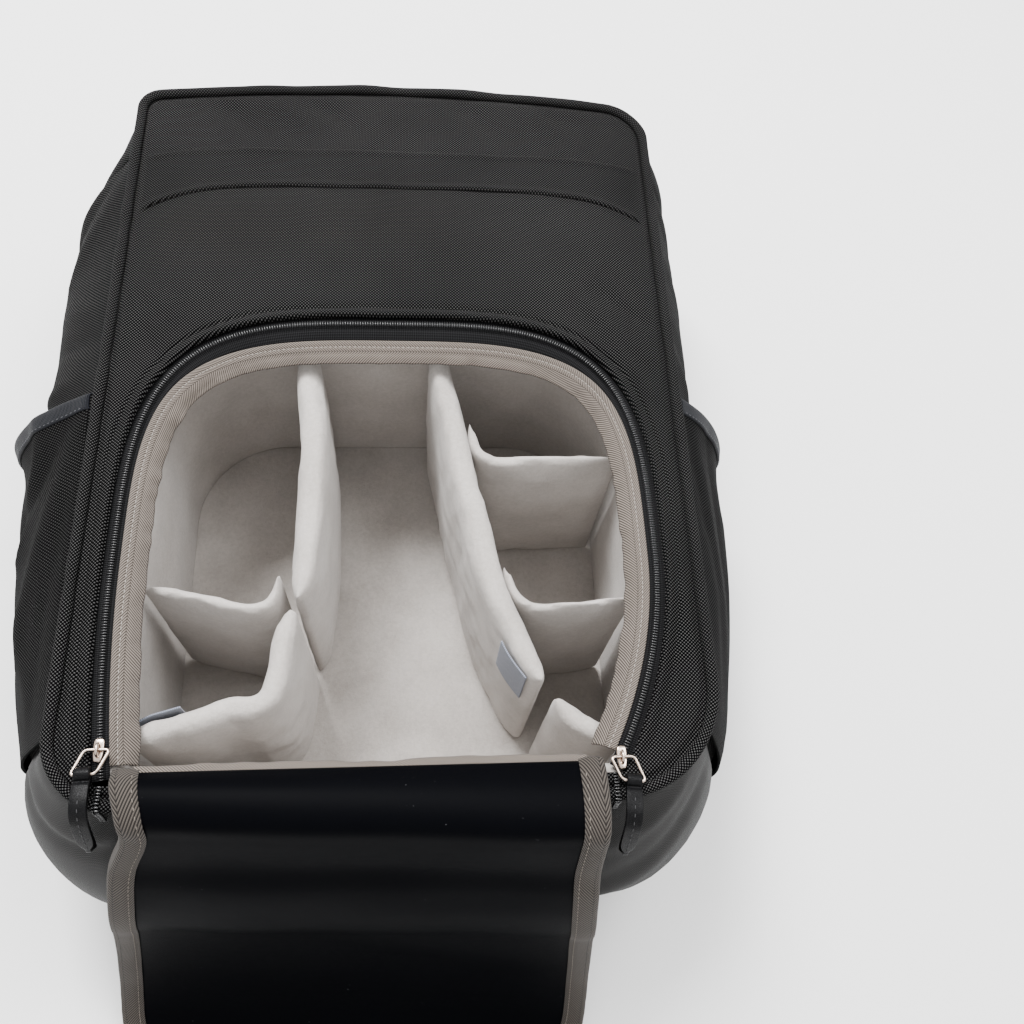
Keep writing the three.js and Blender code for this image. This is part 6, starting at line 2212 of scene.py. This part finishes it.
@dataclass
class Harness:
    """The carrying side that the bag lies on: pads, straps, webbing and handle."""

    body: BodyShape
    pad: float = 12.0
    spine: tuple[float, float] = (72.0, 290.0)
    lumbar: tuple[float, float] = (205.0, 44.0)
    strap_width: float = 62.0
    strap_thickness: float = 10.0
    webbing_width: float = 25.0
    handle_span: float = 110.0
    handle_rise: float = 20.0
    mesh: AirMesh = AirMesh()
    web: Ribbed = Ribbed(pitch=1.6)

    def build(self) -> None:
        """Makes and dresses the harness."""
        slot = "back_cloth"
        lumbar_y = -self.spine[1] / 2 - self.lumbar[1] / 2 - 6
        for name, y, size, corner in (
            ("spine_pad", 0.0, self.spine, 20.0),
            ("lumbar_pad", lumbar_y, self.lumbar, 14.0),
        ):
            pad = self.pad_plate(name, y, size, corner)
            Padding(voxel=4.0, pressure=1.5, cap=2.0).fill(pad)
            self.settle(pad)
            Maker.dress(pad, self.mesh, slot, name)
        for side in Side:
            strap = self.strap(side)
            Padding(voxel=4.0, pressure=1.5, cap=2.0).fill(strap)
            self.settle(strap)
            Maker.dress(strap, self.mesh, slot, f"shoulder_strap_{side.value}")
            Maker.dress(self.webbing(side), self.web, "webbing", f"strap_webbing_{side.value}")
        Maker.dress(self.handle(), self.web, "webbing", "grab_handle")

    @staticmethod
    def settle(obj: bpy.types.Object) -> None:
        """Keeps a pad's mesh on the ground and under the back."""
        points = np.empty(len(obj.data.vertices) * 3, dtype=np.float32)
        obj.data.vertices.foreach_get("co", points)
        points[2::3] = np.clip(points[2::3], 0.0, 12.1 * MM)
        obj.data.vertices.foreach_set("co", points)
        obj.data.update()

    def pad_plate(self, name: str, y: float, size: tuple[float, float], corner: float) -> bpy.types.Object:
        """A pad with a rounded edge, flat where the bag lies on it."""
        w, h = size[0] / 2 - corner, size[1] / 2 - corner
        route = Route(
            np.vstack(
                [
                    arc(-w, y - h, corner, 270, 180), arc(-w, y + h, corner, 180, 90),
                    arc(w, y + h, corner, 90, 0), arc(w, y - h, corner, 0, -90),
                ]
            ),
            closed=True,
        )
        rows = np.array([[0.0, 6.0], [0.0, 4.4], [0.7, 2.4], [2.2, 0.8], [4.6, 0.1], [9, 0.0], [20, 0.0]])
        return plate(name, route, rows, 0.0, self.pad, 220)

    def _route(self, side: Side, table: Sequence[tuple[float, float]]) -> Route:
        """A route given as shares of the body's half width and ends."""
        body = self.body
        points = [
            (side.sign * x * body.half_width, y * (body.top_y if y > 0 else -body.bottom_y)) for x, y in table
        ]
        return Route(spline(points))

    def strap(self, side: Side) -> bpy.types.Object:
        """A padded shoulder strap: a flat oval section carried along its route."""
        route = self._route(side, ((0.25, 0.88), (0.34, 0.74), (0.46, 0.54), (0.54, 0.25), (0.56, 0.0), (0.56, -0.25)))
        angle = np.linspace(0, 2 * np.pi, 41)[:-1]
        u, a = mesh_grid(edge_shares(110, 0.3), angle)
        half = self.strap_width / 2 * lerp(1, 0.62, smooth((u - 0.55) / 0.45)) * lerp(0.8, 1, smooth(u * 6))
        thick = self.strap_thickness / 2
        ends = np.sqrt(np.clip(np.minimum(u, 1 - u) * 30, 0.1, 1))
        cos, sin = np.cos(a), np.sin(a)
        across = half * np.sign(cos) * np.abs(cos) ** 0.5 * ends
        z = thick * np.sign(sin) * np.abs(sin) ** 0.55
        xy = route.offset(u, across)
        grid = np.concatenate([xy, (z + thick + 0.15)[..., None]], axis=-1)
        faces = Maker.quads(110, 40, wrap_v=True).tolist()
        faces += [list(range(40)), list(range(110 * 40 - 1, 109 * 40 - 1, -1))]
        return Maker.mesh(f"shoulder_strap_{side.value}", grid.reshape(-1, 3), faces)

    def webbing(self, side: Side) -> bpy.types.Object:
        """The strap's webbing, flat against the back."""
        route = self._route(side, ((0.56, -0.262), (0.63, -0.48), (0.78, -0.74)))
        u, v = mesh_grid(shares(50), np.linspace(-1, 1, 11))
        xy = route.offset(u, v * self.webbing_width / 2)
        grid = np.concatenate([xy, np.full(u.shape, self.body.back_z - 0.3)[..., None]], axis=-1)
        return Maker.cloth(f"strap_webbing_{side.value}", grid, 2.0, flip=False)

    def handle(self) -> bpy.types.Object:
        """The grab handle: a band of webbing that stands off the top end."""
        body = self.body
        level = 0.14
        low = body.back_z + body.depth * level - self.webbing_width / 2
        crown = body.top_y + body.top_bow + body.bulge_top * math.sin(
            math.pi * (level + self.webbing_width / 2 / body.depth)
        )
        u, v = mesh_grid(shares(70), np.linspace(0, 1, 13))
        t = 2 * u - 1
        x = self.handle_span / 2 * t
        foot = crown - body.top_bow * (x / body.half_width) ** 2
        y = foot + body.gap + self.handle_rise * (1 - t**4) + 3.0
        grid = np.stack([x, y, low + self.webbing_width * v], axis=-1)
        return Maker.cloth("grab_handle", grid, 3.0, flip=True)


@dataclass(frozen=True)
class Studio:
    """Floor, light and camera."""

    camera_place: tuple[float, float, float] = (0.0126, -0.3189, 0.6988)
    right: tuple[float, float, float] = (0.9955, -0.0424, 0.0844)
    down: tuple[float, float, float] = (-0.0028, -0.9066, -0.4221)
    ahead: tuple[float, float, float] = (0.0945, 0.4199, -0.9026)
    lens: float = 35.16

    def build(self) -> None:
        """Makes the floor, the lights and the camera."""
        self.floor()
        self.world()
        self.lamp("key", (-0.45, 0.85, 1.9), (0.0, -0.02, 0.1), 0.7, 95.0)
        self.lamp("fill", (0.9, 0.3, 2.0), (0.0, 0.0, 0.1), 0.9, 34.0)
        self.camera()

    def floor(self) -> None:
        """A wide pale floor just under the bag."""
        points = np.array([[-4000, -4000, 0], [4000, -4000, 0], [4000, 4000, 0], [-4000, 4000, 0]], dtype=float)
        floor = Maker.mesh("floor", points - [0, 0, 0.2], [[0, 1, 2, 3]])
        floor.data.materials.append(Floor().material())

    @staticmethod
    def world() -> None:
        """A plain bright surround."""
        world = bpy.data.worlds.new("studio")
        bpy.context.scene.world = world
        world.use_nodes = True
        back = world.node_tree.nodes["Background"]
        back.inputs["Color"].default_value = (1.0, 1.0, 1.0, 1.0)
        back.inputs["Strength"].default_value = 1.5

    @staticmethod
    def lamp(
        name: str, place: tuple[float, float, float], aim: tuple[float, float, float], size: float, power: float
    ) -> None:
        """A square soft light.

        Args:
            name: The lamp's name.
            place: Where it hangs, in metres.
            aim: What it points at.
            size: Its side, in metres.
            power: Its power in watts.
        """
        data = bpy.data.lights.new(name, "AREA")
        data.size = size
        data.energy = power
        lamp = bpy.data.objects.new(name, data)
        lamp.location = place
        away = np.array(place) - np.array(aim)
        lamp.rotation_mode = "QUATERNION"
        from mathutils import Vector

        lamp.rotation_quaternion = Vector(away.tolist()).to_track_quat("Z", "Y")
        bpy.context.scene.collection.objects.link(lamp)

    def camera(self) -> None:
        """The camera at the photograph's angle."""
        from mathutils import Matrix

        data = bpy.data.cameras.new("camera")
        data.lens = self.lens
        data.sensor_width = 36.0
        data.clip_start = 0.01
        camera = bpy.data.objects.new("camera", data)
        axes = [self.right, tuple(-d for d in self.down), tuple(-a for a in self.ahead)]
        rows = [[axes[c][r] for c in range(3)] + [self.camera_place[r]] for r in range(3)]
        camera.matrix_world = Matrix([*rows, [0, 0, 0, 1]])
        bpy.context.scene.collection.objects.link(camera)
        bpy.context.scene.camera = camera


def main() -> None:
    """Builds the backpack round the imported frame."""
    logging.basicConfig(level=logging.INFO, format="%(message)s")
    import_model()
    body = BodyShape()
    zip_shape = ZipShape(body)
    room = Compartment(body, zip_shape)
    parts: list = [
        Shell(body, zip_shape),
        room,
        Opening(body, zip_shape, room),
        Flap(body, zip_shape),
        SidePocket(body, Side.LEFT, 26.0),
        SidePocket(body, Side.RIGHT, 20.0),
        Pull(body, zip_shape, Side.LEFT, 17.0, -112.0, -88.0),
        Pull(body, zip_shape, Side.RIGHT, 7.0, -70.0, -96.0),
        Harness(body),
        Studio(),
    ]
    for part in parts:
        part.build()


if __name__ == "__main__":
    main()
